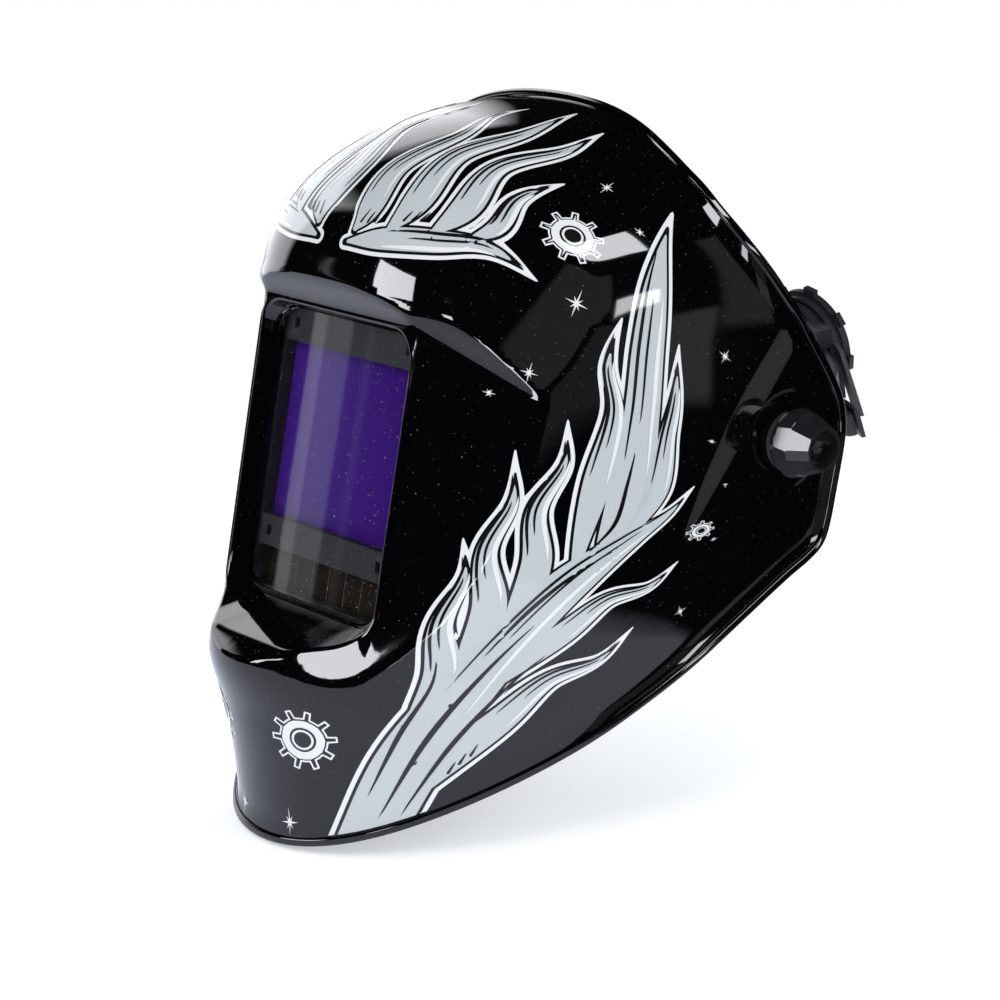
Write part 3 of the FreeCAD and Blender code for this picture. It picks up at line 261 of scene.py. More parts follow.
# away from the helmet the table is as white as the backdrop
away = (table_x * table_x + table_y * table_y).power(0.5).between(0.42, 0.75)
blank = top.node("ShaderNodeEmission", {}, {"Color": WHITE, "Strength": 1.0})
lit = top.node("ShaderNodeMixShader", {}, {0: away, 1: lit, 2: blank})
glare = top.node("ShaderNodeEmission", {}, {"Color": colour(0.80, 0.84, 1.0), "Strength": 1.35})
lit = top.node("ShaderNodeMixShader", {}, {0: in_mirror, 1: lit, 2: glare})
gone = top.node("ShaderNodeBsdfTransparent")
top.finish(top.node("ShaderNodeMixShader", {}, {0: in_mirror * past, 1: lit, 2: gone}))


def lamp(name, place, size, power):
    """A soft lamp aimed at the helmet, which gloss doesn't mirror."""
    data = bpy.data.lights.new(name, "AREA")
    data.shape, data.size, data.size_y, data.energy = "RECTANGLE", size[0], size[1], power
    made = bpy.data.objects.new(name, data)
    scene.collection.objects.link(made)
    made.location = place
    made.rotation_euler = (Vector((0, -0.05, 0)) - Vector(place)).to_track_quat("-Z", "Y").to_euler()
    made.visible_glossy = False


lamp("lamp_front", (0.5, -1.5, 1.1), (0.7, 0.5), 7.0)
lamp("lamp_side", (1.6, 0.1, 0.9), (0.5, 0.7), 5.0)
lamp("lamp_back", (-0.9, 1.2, 1.2), (0.7, 0.5), 6.0)

LENS_PLACE = Vector((1.0963, -0.9634, 0.3218))
LENS_LOOK = Vector((-0.7547, 0.6076, -0.2475))
lens = bpy.data.cameras.new("lens")
lens.lens, lens.sensor_width = 109.8, 36.0
lens.clip_start, lens.clip_end = 0.05, 30.0
camera = bpy.data.objects.new("camera", lens)
scene.collection.objects.link(camera)
camera.location = LENS_PLACE
camera.rotation_euler = LENS_LOOK.to_track_quat("-Z", "Y").to_euler()
scene.camera = camera

# ---------------------------------------------------------------------------
# Helmet shell: one injection moulding of black nylon, 2.4 mm thick, mirror gloss
# outside and dull inside, with a rolled edge all round and a tunnel round the
# visor. Its form is surveyed along a fan of rays, in millimetres, upright.
# ---------------------------------------------------------------------------
SHELL_LEAN = math.radians(10.8)
PIVOT = np.array((0.0, -11.5, 2.3))
SURVEY = np.array((0.0, 45.0, -15.0))
WALL = 2.4
CREASE = 0.8

# level, front, half width at the ears, squareness
LEVELS = np.array((
    (-240, -186, 86, 2.1), (-200, -197, 96, 2.1), (-178, -204, 101, 2.05), (-155, -213.5, 106, 2.0),
    (-127, -226.5, 110, 2.0), (-90, -229, 112, 2.1), (-50, -226, 113, 2.35), (10, -216, 113, 2.75),
    (47, -206, 112.5, 3.0)), float)
CROWN_SQUARENESS = np.array(((47, 3.0), (80, 2.75), (100, 2.5), (120, 2.25), (147, 2.1)), float)
WIDEST_Y, CROWN_BASE, CROWN_HEIGHT, CROWN_ARCH, CROWN_PROFILE = -20.0, 47.0, 99.5, 2.7, 2.2

# planes that cut the form to facets: normal, then a point; mirrored for the other side
VISOR_FRONT = ((0, -1, 0), (0, -196, 0))
VISOR_SIDE = ((0.731, -0.682, 0), (57.5, -195, 0))
BROW_FRONT = ((0, -0.763, -0.646), (0, -206, 47))
BROW_SIDE = ((0.422, -0.703, -0.573), (78.6, -183.3, 36.4))
LIP_FRONT = ((0, -0.66, 0.75), (0, -216, -115))
LIP_SIDE = ((0.640, -0.759, 0.134), (57.5, -195, -111))
TEMPLE_FACET = ((0.887, -0.453, 0.093), (81.5, -180.3, 29.6))
TEMPLE_BEVEL = ((0.831, -0.532, 0.163), (78.1, -183.3, 36.3))
EAR_FLAT = ((1, 0, 0), (110.8, 0, 0))
EAR_BEVEL = ((0.989, 0.130, -0.068), (112.4, -36.1, 33.3))
FACETS = (VISOR_FRONT, VISOR_SIDE, BROW_FRONT, BROW_SIDE, LIP_FRONT, LIP_SIDE,
          TEMPLE_FACET, TEMPLE_BEVEL, EAR_FLAT, EAR_BEVEL)

# edge of the shell in side view, as y and z from the crown to the chin
RIM = np.array((
    (-84.5, 152), (-84.5, 140), (-84, 132.5), (-82.5, 125.5), (-79, 118.5), (-74, 112), (-67, 103), (-55, 92),
    (-40, 79.5), (-28, 69), (-14.5, 58), (-1, 45), (10, 34), (18, 24), (22.6, 13), (24, 2), (23.7, -18),
    (23, -36), (20.5, -45.5), (13.5, -53), (0, -63), (-24, -82.5), (-69, -119.5), (-111.5, -153),
    (-165, -191), (-215, -224)), float)
EDGE_LIP, EDGE_WIDE, EDGE_PROUD = 0.6, 4.2, 0.7
FLARE, FLARE_WIDE = 1.3, 9.0

# visor opening: half width, bottom, top and y, at its mouth and at the filter
MOUTH = np.array((57.5, -106.5, 32.0, -195.0))
THROAT = np.array((51.5, -103.0, 31.0, -188.2))
CORNER = 14.0
SILL_DROP = 0.41
MOUTH_ROUND = 1.5


def to_row(points):
    """Millimetres in the shell's upright frame to metres in the row's frame."""
    p = (np.asarray(points, float) - PIVOT) / 1000
    c, s = math.cos(SHELL_LEAN), -math.sin(SHELL_LEAN)
    out = p.copy()
    out[..., 1] = p[..., 1] * c - p[..., 2] * s
    out[..., 2] = p[..., 1] * s + p[..., 2] * c
    return out


def turn_to_row(vectors):
    return to_row(np.asarray(vectors, float) * 1000 + PIVOT)


def through(table, column, at):
    """Smooth curve through a table's column, by its first column."""
    x, y = table[:, 0], table[:, column]
    gap = np.diff(x)
    rise = np.diff(y) / gap
    product, total = rise[:-1] * rise[1:], rise[:-1] + rise[1:]
    slope = np.empty_like(y)
    slope[1:-1] = np.where(product > 0, 2 * product / np.where(product > 0, total, 1), 0)
    slope[0], slope[-1] = rise[0], rise[-1]
    at = np.clip(at, x[0], x[-1])
    i = np.clip(np.searchsorted(x, at, side="right") - 1, 0, len(x) - 2)
    h = gap[i]
    t = (at - x[i]) / h
    return (((2 * t - 3) * t * t + 1) * y[i] + ((t - 2) * t + 1) * t * slope[i] * h
            + (3 - 2 * t) * t * t * y[i + 1] + (t - 1) * t * t * slope[i + 1] * h)


def inside_egg(p):
    z = p[..., 2]
    front, half, square = (through(LEVELS, k, z) for k in (1, 2, 3))
    length = WIDEST_Y - front
    up = z > CROWN_BASE
    u = np.clip((z - CROWN_BASE) / CROWN_HEIGHT, 0, 0.9999)
    half = np.where(up, half * (1 - u ** CROWN_ARCH) ** (1 / CROWN_ARCH), half)
    length = np.where(up, length * (1 - u ** CROWN_PROFILE) ** (1 / CROWN_PROFILE), length)
    square = np.where(up, through(CROWN_SQUARENESS, 1, z), square)
    reach = (np.abs(p[..., 0]) / half) ** square
    reach = reach + (np.maximum(WIDEST_Y - p[..., 1], 0) / length) ** square
    return (reach < 1) & (z < CROWN_BASE + CROWN_HEIGHT)


def rays(theta, latitude):
    """Unit vectors: theta rises from the front, latitude turns to the wearer's left."""
    return np.stack((np.sin(latitude), -np.cos(latitude) * np.cos(theta), np.cos(latitude) * np.sin(theta)), -1)


def nearest(a, b, k):
    return np.minimum(a, b) - k * np.log1p(np.exp(-np.minimum(np.abs(a - b) / k, 60)))


def farthest(a, b, k):
    return -nearest(-a, -b, k)


def form(theta, latitude, all_reaches=False):
    """Points of the outer face; or each facet's own distance, and which one rules."""
    w = rays(theta, latitude)
    low, high = np.full(w.shape[:-1], 5.0), np.full(w.shape[:-1], 480.0)
    for _ in range(30):
        middle = (low + high) / 2
        inside = inside_egg(SURVEY + middle[..., None] * w)
        low, high = np.where(inside, middle, low), np.where(inside, high, middle)
    side = np.where(latitude >= 0, 1.0, -1.0)
    reaches = [low]
    for normal, at in FACETS:
        facing = side * normal[0] * w[..., 0] + normal[1] * w[..., 1] + normal[2] * w[..., 2]
        level = normal[0] * at[0] + normal[1] * (at[1] - SURVEY[1]) + normal[2] * (at[2] - SURVEY[2])
        reaches.append(np.where(facing > 1e-6, level / np.maximum(facing, 1e-6), 1e4))
    egg, visor_f, visor_s, brow_f, brow_s, lip_f, lip_s, temple, bevel, ear, ear_bevel = reaches
    if all_reaches:
        stack = np.stack(reaches, -1)

        def pick(one, two, nearer):
            first = np.take_along_axis(stack, one[..., None], -1)[..., 0]
            second = np.take_along_axis(stack, two[..., None], -1)[..., 0]
            return np.where((first < second) == nearer, one, two)

        ids = [np.full(low.shape, k) for k in range(11)]
        face = pick(pick(pick(ids[1], ids[2], True), pick(ids[3], ids[4], True), False),
                    pick(ids[5], ids[6], True), False)
        rules = pick(pick(ids[0], face, True), pick(ids[7], ids[8], True), True)
        return stack, pick(rules, pick(ids[9], ids[10], False), True)
    face = farthest(farthest(nearest(visor_f, visor_s, CREASE), nearest(brow_f, brow_s, CREASE), CREASE),
                    nearest(lip_f, lip_s, CREASE), CREASE)
    reach = nearest(egg, face, CREASE)
    reach = nearest(reach, nearest(temple, bevel, 0.4), 0.5)
    reach = nearest(reach, farthest(ear, ear_bevel, 0.4), 0.5)
    return SURVEY + reach[..., None] * w


def smooth_line(points, per_span=14):
    """Rounded line through points, the same way as a flexible batten lies."""
    p = np.vstack((2 * points[0] - points[1], points, 2 * points[-1] - points[-2]))
    t = np.linspace(0, 1, per_span, endpoint=False)[:, None]
    spans = []
    for i in range(1, len(p) - 2):
        a, b, c, d = p[i - 1:i + 3]
        spans.append(0.5 * (2 * b + (c - a) * t + (2 * a - 5 * b + 4 * c - d) * t ** 2
                            + (3 * b - a - 3 * c + d) * t ** 3))
    return np.vstack(spans + [p[-2:-1]])


RIM_LINE = smooth_line(RIM)


def behind_rim(y, z):
    """Distance behind the shell's edge in side view; negative on the shell."""
    a, b = RIM_LINE[:-1], RIM_LINE[1:]
    run = b - a
    q = np.stack((np.ravel(y), np.ravel(z)), -1)
    out = np.empty(len(q))
    for start in range(0, len(q), 4000):
        part = q[start:start + 4000, None, :]
        t = np.clip(np.sum((part - a) * run, -1) / np.sum(run * run, -1), 0, 1)
        apart = part - (a + t[..., None] * run)
        distance = np.linalg.norm(apart, axis=-1)
        k = np.argmin(distance, axis=1)
        rows = np.arange(len(k))
        turn = run[k, 0] * apart[rows, k, 1] - run[k, 1] * apart[rows, k, 0]
        out[start:start + 4000] = np.where(turn > 0, 1, -1) * distance[rows, k]
    return out.reshape(np.shape(y))


def form_normals(theta, latitude, step=math.radians(0.25)):
    a = form(theta + step, latitude) - form(theta - step, latitude)
    b = form(theta, latitude + step) - form(theta, latitude - step)
    n = np.cross(b, a)
    n /= np.linalg.norm(n, axis=-1, keepdims=True)
    outward = np.sum(n * rays(theta, latitude), -1, keepdims=True)
    return np.where(outward > 0, n, -n)


def slope_on(measure, points, normals):
    """Direction on the surface in which a measure of a point grows fastest."""
    g = np.empty_like(points)
    for k in range(3):
        step = np.zeros(3)
        step[k] = 0.05
        g[:, k] = measure(points + step) - measure(points - step)
    g -= np.sum(g * normals, -1, keepdims=True) * normals
    return unit(g)


def unit(v):
    return v / np.maximum(np.linalg.norm(v, axis=-1, keepdims=True), 1e-9)


def edge_distance(points):
    return behind_rim(points[..., 1], points[..., 2])


def outer_face(theta, latitude):
    """Points and normals of the outer face, which flares a little towards its edge."""
    points, normals = form(theta, latitude), form_normals(theta, latitude)
    inside = -edge_distance(points) - (EDGE_WIDE - EDGE_LIP)
    near = inside < FLARE_WIDE
    p, n = points[near], normals[near]
    t = 1 - np.maximum(inside[near], 0) / FLARE_WIDE
    back = slope_on(edge_distance, p, n)
    points[near] = p + n * (FLARE * t * t)[:, None]
    normals[near] = unit(n - back * (2 * FLARE / FLARE_WIDE * t)[:, None])
    return points, normals


def opening_size(y):
    """Half width, bottom and top of the visor tunnel at depth y."""
    t = np.clip((y - MOUTH[3]) / (THROAT[3] - MOUTH[3]), 0, 1)
    ahead = np.maximum(MOUTH[3] - y, 0)
    half = MOUTH[0] + (THROAT[0] - MOUTH[0]) * t
    low = MOUTH[1] + (THROAT[1] - MOUTH[1]) * t - SILL_DROP * ahead
    high = MOUTH[2] + (THROAT[2] - MOUTH[2]) * t
    return half, low, high


def outside_opening(p):
    """Distance outside the visor tunnel, across it; negative in the opening."""
    half, low, high = opening_size(p[..., 1])
    dx = np.abs(p[..., 0]) - (half - CORNER)
    middle = (low + high) / 2
    dz = np.abs(p[..., 2] - middle) - ((high - low) / 2 - CORNER)
    away = np.hypot(np.maximum(dx, 0), np.maximum(dz, 0)) + np.minimum(np.maximum(dx, dz), 0)
    return np.where(p[..., 1] < -100, away - CORNER, 1e3)


def grid_of_rays(name, lat_steps, theta_steps):
    """A flat grid whose x is latitude and y is theta."""
    bpy.ops.mesh.primitive_grid_add(x_subdivisions=lat_steps, y_subdivisions=theta_steps, size=2)
    grid = bpy.context.object
    grid.name = name
    flat = np.empty(len(grid.data.vertices) * 3)
    grid.data.vertices.foreach_get("co", flat)
    flat = flat.reshape(-1, 3)
    flat[:, 0] *= math.radians(81)
    flat[:, 1] = math.radians(1.5) + flat[:, 1] * math.radians(58.5)
    grid.data.vertices.foreach_set("co", flat.ravel())
    return grid


def ray_angles(bm):
    co = np.array([v.co[:2] for v in bm.verts])
    return co[:, 1], co[:, 0]


def score(bm, crossings):
    """Cut a mesh along the line where a value passes zero."""
    bm.verts.ensure_lookup_table()
    marked = []
    for edge, t in crossings:
        _, vert = bmesh.utils.edge_split(edge, edge.verts[0], t)
        marked.append(vert)
    bmesh.ops.connect_verts(bm, verts=marked)
    bm.verts.index_update()


def trim(bm, measure):
    """Cut away all of the mesh where measure(theta, latitude) is above zero."""
    theta, latitude = ray_angles(bm)
    values = measure(theta, latitude)
    bm.verts.index_update()
    crossings = []
    for edge in list(bm.edges):
        a, b = values[edge.verts[0].index], values[edge.verts[1].index]
        if a * b < 0:
            crossings.append((edge, a / (a - b)))
    score(bm, crossings)
    theta, latitude = ray_angles(bm)
    values = measure(theta, latitude)
    bm.verts.index_update()
    waste = [f for f in bm.faces if max((values[v.index] for v in f.verts), key=abs) > 0]
    bmesh.ops.delete(bm, geom=waste, context="FACES")
    bmesh.ops.delete(bm, geom=[v for v in bm.verts if not v.link_faces], context="VERTS")
    rim_verts = [v for v in bm.verts if v.is_boundary]
    bmesh.ops.remove_doubles(bm, verts=rim_verts, dist=math.radians(0.12))


def crease_lines(bm):
    """Put vertices along every crease, so that each crease is one clean line."""
    theta, latitude = ray_angles(bm)
    stack, rules = form(theta, latitude, all_reaches=True)
    bm.verts.index_update()
    crossings = []
    for edge in list(bm.edges):
        i, j = edge.verts[0].index, edge.verts[1].index
        one, two = rules[i], rules[j]
        if one != two and not edge.is_boundary:
            a, b = stack[i, one] - stack[i, two], stack[j, one] - stack[j, two]
            if a * b < 0 and 0.04 < a / (a - b) < 0.96:
                crossings.append((edge, a / (a - b)))
    score(bm, crossings)


def boundary_loops(bm):
    """Closed runs of vertices along the mesh's open edges."""
    left = {v for v in bm.verts if v.is_boundary}
    loops = []
    while left:
        vert = left.pop()
        loop = [vert]
        while True:
            nexts = [e.other_vert(vert) for e in vert.link_edges if e.is_boundary]
            nexts = [v for v in nexts if v in left]
            if not nexts:
                break
            vert = nexts[0]
            left.discard(vert)
            loop.append(vert)
        loops.append(loop)
    return sorted(loops, key=len, reverse=True)


def strip(bm, layer, first, rows, flip):
    """Carry a loop of vertices on through rows of new points, each with its normals."""
    last = first
    for points, normals in rows:
        row = []
        for co, normal in zip(points, normals):
            vert = bm.verts.new(co)
            vert[layer] = normal
            row.append(vert)
        count = len(row)
        for i in range(count):
            j = (i + 1) % count
            quad = (last[i], last[j], row[j], row[i])
            bm.faces.new(quad[::-1] if flip else quad)
        last = row
    return last


def rim_measure(shift):
    def measure(theta, latitude):
        return edge_distance(form(theta, latitude)) - shift
    return measure


def opening_measure(grow):
    def measure(theta, latitude):
        return grow - outside_opening(form(theta, latitude))
    return measure


def finish_form(obj, bm, layer):
    """Write the mesh back in metres in the row's frame, with its own normals."""
    co = np.array([v.co for v in bm.verts])
    normals = turn_to_row(unit(np.array([v[layer] for v in bm.verts])))
    for vert, place in zip(bm.verts, to_row(co)):
        vert.co = place
    bm.normal_update()
    bm.to_mesh(obj.data)
    bm.free()
    obj.data.polygons.foreach_set("use_smooth", [True] * len(obj.data.polygons))
    obj.data.normals_split_custom_set_from_vertices([tuple(n) for n in normals])
    obj.data.update()


# outer face
skin = grid_of_rays("shell_skin", 250, 200)
bm = bmesh.new()
bm.from_mesh(skin.data)
trim(bm, rim_measure(EDGE_LIP - EDGE_WIDE))
trim(bm, opening_measure(MOUTH_ROUND))
crease_lines(bm)
theta, latitude = ray_angles(bm)
points, normals = outer_face(theta, latitude)
layer = bm.verts.layers.float_vector.new("form_normal")
for vert, co, normal in zip(bm.verts, points, normals):
    vert.co = co
    vert[layer] = normal
for face in bm.faces:
    face.normal_update()
    if face.normal.dot(Vector(face.verts[0][layer])) < 0:
        face.normal_flip()
edge_loop, mouth_loop = boundary_loops(bm)[:2]

# rolled edge: along the loop, then over and round to the inside
q = np.array([v.co for v in edge_loop])
n = np.array([v[layer] for v in edge_loop])
back = slope_on(edge_distance, q, n)
EDGE_PROFILE = (
    (0.05, 0.25, -0.9), (0.25, 0.85, -0.8), (0.75, 1.25, -0.45), (1.5, EDGE_PROUD, 0.0),
    (2.9, EDGE_PROUD, 0.1), (3.6, 1.15, 0.5), (4.05, 0.6, 0.85), (EDGE_WIDE, -0.2, 1.0),
    (EDGE_WIDE, -1.5, 1.0), (3.9, -2.1, 0.8), (3.3, -2.45, 0.3), (2.0, -2.5, 0.0))
rows = []
for s, h, tip in EDGE_PROFILE:
    out = -1.0 if h < -2.2 else 1.0
    face_normal = unit(back * tip + n * out * math.sqrt(max(1 - tip * tip, 0.0001)))
    rows.append((q + back * s + n * h, face_normal))
wound = Vector(edge_loop[1].co - edge_loop[0].co).cross(Vector(back[0])).dot(Vector(n[0])) > 0
strip(bm, layer, edge_loop, rows, flip=not wound)

# tunnel: rounded mouth, ruled walls to the throat, then the seat of the filter
q = np.array([v.co for v in mouth_loop])
n = np.array([v[layer] for v in mouth_loop])
inward = -slope_on(outside_opening, q, n)
tip = q + inward * MOUTH_ROUND
half, low, high = opening_size(tip[:, 1])
middle = (low + high) / 2
core = np.stack((
    np.clip(tip[:, 0], -(half - CORNER), half - CORNER) / (half - CORNER),
    np.clip(tip[:, 2] - middle, -((high - low) / 2 - CORNER), (high - low) / 2 - CORNER) / ((high - low) / 2 - CORNER)), -1)
spoke = np.stack((
    tip[:, 0] - core[:, 0] * (half - CORNER), tip[:, 2] - middle - core[:, 1] * ((high - low) / 2 - CORNER)), -1)
spoke = unit(spoke)


def ring_at(half, low, high, corner, y):
    """The loop's points on a rounded rectangle of this size at depth y."""
    x = core[:, 0] * (half - corner) + spoke[:, 0] * corner
    z = (low + high) / 2 + core[:, 1] * ((high - low) / 2 - corner) + spoke[:, 1] * corner
    return np.stack((x, np.full(len(x), float(y)) if np.isscalar(y) else y, z), -1)


throat = ring_at(*THROAT[:3], CORNER, THROAT[3])
deep = unit(throat - tip)
walls = unit(-np.stack((spoke[:, 0], np.zeros(len(spoke)), spoke[:, 1]), -1))
ruled = (tip + throat) / 2
across_wall = unit(np.cross(np.roll(ruled, -3, axis=0) - np.roll(ruled, 3, axis=0), deep))
walls = across_wall * np.sign(np.sum(across_wall * walls, -1, keepdims=True))
lean = np.sum(n * walls, -1, keepdims=True)
radius = MOUTH_ROUND / np.tan(np.arccos(np.clip(lean, -0.95, 0.95)) / 2)
centre = q - n * radius
rows = []
for k in range(1, 6):
    direction = unit(n * math.cos(k / 5 * math.pi / 2) + walls * math.sin(k / 5 * math.pi / 2))
    if k == 5:
        direction = walls
    rows.append((centre + direction * radius, direction))
start = rows[-1][0]
for t in (0.33, 0.66, 1.0):
    rows.append((start + (throat - start) * t, walls))
forward = np.tile((0.0, -1.0, 0.0), (len(q), 1))
spoke3 = np.stack((spoke[:, 0], np.zeros(len(spoke)), spoke[:, 1]), -1)
SEAT_HALF, SEAT_LOW, SEAT_HIGH, SEAT_BACK = 57.4, -106.4, 36.4, -171.0
LIP_IN = 1.3
lip = ring_at(THROAT[0] - LIP_IN, THROAT[1] + LIP_IN, THROAT[2] - LIP_IN, CORNER - LIP_IN, THROAT[3])
rows += [
    (throat, forward), (lip, forward), (lip, -spoke3), (lip + (0, 1.4, 0), -spoke3), (lip + (0, 1.4, 0), -forward),
    (ring_at(SEAT_HALF, SEAT_LOW, SEAT_HIGH, 2.6, THROAT[3] + 1.4), -forward),
    (ring_at(SEAT_HALF, SEAT_LOW, SEAT_HIGH, 2.6, THROAT[3] + 1.4), -spoke3),
    (ring_at(SEAT_HALF, SEAT_LOW, SEAT_HIGH, 2.6, SEAT_BACK), -spoke3),
    (ring_at(SEAT_HALF, SEAT_LOW, SEAT_HIGH, 2.6, SEAT_BACK), -forward),
    (ring_at(SEAT_HALF + WALL, SEAT_LOW - WALL, SEAT_HIGH + WALL, 5.0, SEAT_BACK), -forward),
    (ring_at(SEAT_HALF + WALL, SEAT_LOW - WALL, SEAT_HIGH + WALL, 5.0, SEAT_BACK), spoke3),
    (ring_at(SEAT_HALF + WALL, SEAT_LOW - WALL, SEAT_HIGH + WALL, 5.0, THROAT[3]), spoke3),
    (ring_at(SEAT_HALF + WALL, SEAT_LOW - WALL, SEAT_HIGH + WALL, 5.0, THROAT[3]), forward),
    (ring_at(THROAT[0] + WALL, THROAT[1] - WALL, THROAT[2] + WALL, CORNER + WALL, THROAT[3]), forward),
    (ring_at(THROAT[0] + WALL, THROAT[1] - WALL, THROAT[2] + WALL, CORNER + WALL, THROAT[3]), spoke3),
    (tip + spoke3 * WALL + (0, 1.0, 0), spoke3)]
wound = Vector(mouth_loop[1].co - mouth_loop[0].co).cross(Vector(inward[0])).dot(Vector(n[0])) > 0
strip(bm, layer, mouth_loop, rows, flip=not wound)
finish_form(skin, bm, layer)

# inner face, on a wider grid
lining = grid_of_rays("shell_lining", 130, 110)
bm = bmesh.new()
bm.from_mesh(lining.data)
trim(bm, rim_measure(-0.4))
trim(bm, opening_measure(WALL))
theta, latitude = ray_angles(bm)
points, normals = form(theta, latitude), form_normals(theta, latitude)
layer = bm.verts.layers.float_vector.new("form_normal")
for vert, co, normal in zip(bm.verts, points, normals):
    vert.co = co - normal * WALL
    vert[layer] = -normal
for face in bm.faces:
    face.normal_update()
    if face.normal.dot(Vector(face.verts[0][layer])) < 0:
        face.normal_flip()
finish_form(lining, bm, layer)

# finish: black with a faint orange peel, dust and hairline scratches
gloss = Maker(new_material("shell_gloss").node_tree)
peel = gloss.noise(55.0, 2.0)
hairs = gloss.noise(900.0, 2.0, 0.6, stretch=(1, 0.04, 0.1)).between(0.62, 0.75)
dust = gloss.noise(1400.0, 0.0).between(0.83, 0.86)
haze = gloss.noise(14.0, 3.0)
place_x, place_y, place_z = (gloss.node("ShaderNodeSeparateXYZ", {}, {0: gloss.place()}, output=k) for k in range(3))
from_pivot = (place_y * place_y + place_z * place_z).power(0.5)
boss = (1.0 - from_pivot.between(0.0225, 0.0240)) * place_x.math("ABSOLUTE").between(0.09, 0.095)
tint = gloss.blend(dust, colour(0.0012, 0.0012, 0.0016), colour(0.13, 0.13, 0.14))
coat = gloss.node("ShaderNodeBsdfPrincipled", {}, {
    "Base Color": tint,
    "Roughness": 0.028 + haze * 0.03 + hairs * 0.05 + dust * 0.4,
    "IOR": 1.5,
    "Normal": gloss.bump(boss, 0.35, 0.0004, gloss.bump(peel, 0.05, 0.0006))})
gloss.finish(coat)
skin.data.materials.append(bpy.data.materials["shell_gloss"])

dull = Maker(new_material("shell_inside").node_tree)
grain = dull.noise(1600.0, 2.0)
dull.finish(dull.node("ShaderNodeBsdfPrincipled", {}, {
    "Base Color": dull.blend(dull.noise(20.0), colour(0.012, 0.012, 0.013), colour(0.02, 0.02, 0.021)),
    "Roughness": 0.42 + grain * 0.15,
    "Normal": dull.bump(grain, 0.25, 0.0003)}))
lining.data.materials.append(bpy.data.materials["shell_inside"])

for piece in (skin, lining):
    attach(piece, "helmet")
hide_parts("shell")

# ---------------------------------------------------------------------------
# Shell fittings, moulded with the shell: two hinge lugs over the filter's seat and
# the two pegs that meet the tilt stops.
# ---------------------------------------------------------------------------
HINGE_Y, HINGE_Z = -166.5, 42.5


def select_only(piece):
    bpy.ops.object.select_all(action="DESELECT")
    piece.select_set(True)
    bpy.context.view_layer.objects.active = piece


def finish_modifiers(piece):
    select_only(piece)
    for modifier in list(piece.modifiers):
        bpy.ops.object.modifier_apply(modifier=modifier.name)


def block(name, low, high, round_by):
    """A rounded block between two corners, in millimetres in the shell's upright frame."""
    low, high = np.array(low, float), np.array(high, float)
    bpy.ops.mesh.primitive_cube_add(size=1)
    piece = bpy.context.object
    piece.name = name
    for vert in piece.data.vertices:
        vert.co = Vector((low + high) / 2 + np.array(vert.co) * (high - low))
    rounding = piece.modifiers.new("rounding", "BEVEL")
    rounding.width, rounding.segments, rounding.limit_method = round_by, 3, "NONE"
    finish_modifiers(piece)
    return piece


def join(pieces, name):
    bpy.ops.object.select_all(action="DESELECT")
    for piece in pieces:
        piece.select_set(True)
    bpy.context.view_layer.objects.active = pieces[0]
    bpy.ops.object.join()
    pieces[0].name = name
    return pieces[0]


def lean_back(piece):
    """From millimetres in the shell's upright frame to the row's frame."""
    for vert in piece.data.vertices:
        vert.co = Vector(to_row(np.array(vert.co)))


lugs = [block("lug", (x - 3, HINGE_Y - 2.6, SEAT_HIGH + WALL - 1), (x + 3, HINGE_Y + 2.6, HINGE_Z + 2.5), 1.2)
        for x in (-30, 30)]
lugs += [block("foot", (x - 3, SEAT_BACK - 8, SEAT_HIGH + WALL - 1), (x + 3, HINGE_Y, SEAT_HIGH + WALL + 1.4), 0.5)
         for x in (-30, 30)]
for side in (-1, 1):
    bpy.ops.mesh.primitive_cylinder_add(vertices=32, radius=2.6, depth=6.8, rotation=(0, math.radians(90), 0),
                                        location=(side * 106.4, PIVOT[1], PIVOT[2] - 20))
    bpy.ops.object.transform_apply(location=True, rotation=True, scale=True)
    lugs.append(bpy.context.object)
fittings = join(lugs, "shell_fittings")
lean_back(fittings)
select_only(fittings)
bpy.ops.object.shade_smooth_by_angle(angle=math.radians(35))
fittings.data.materials.append(bpy.data.materials["shell_inside"])
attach(fittings, "helmet")

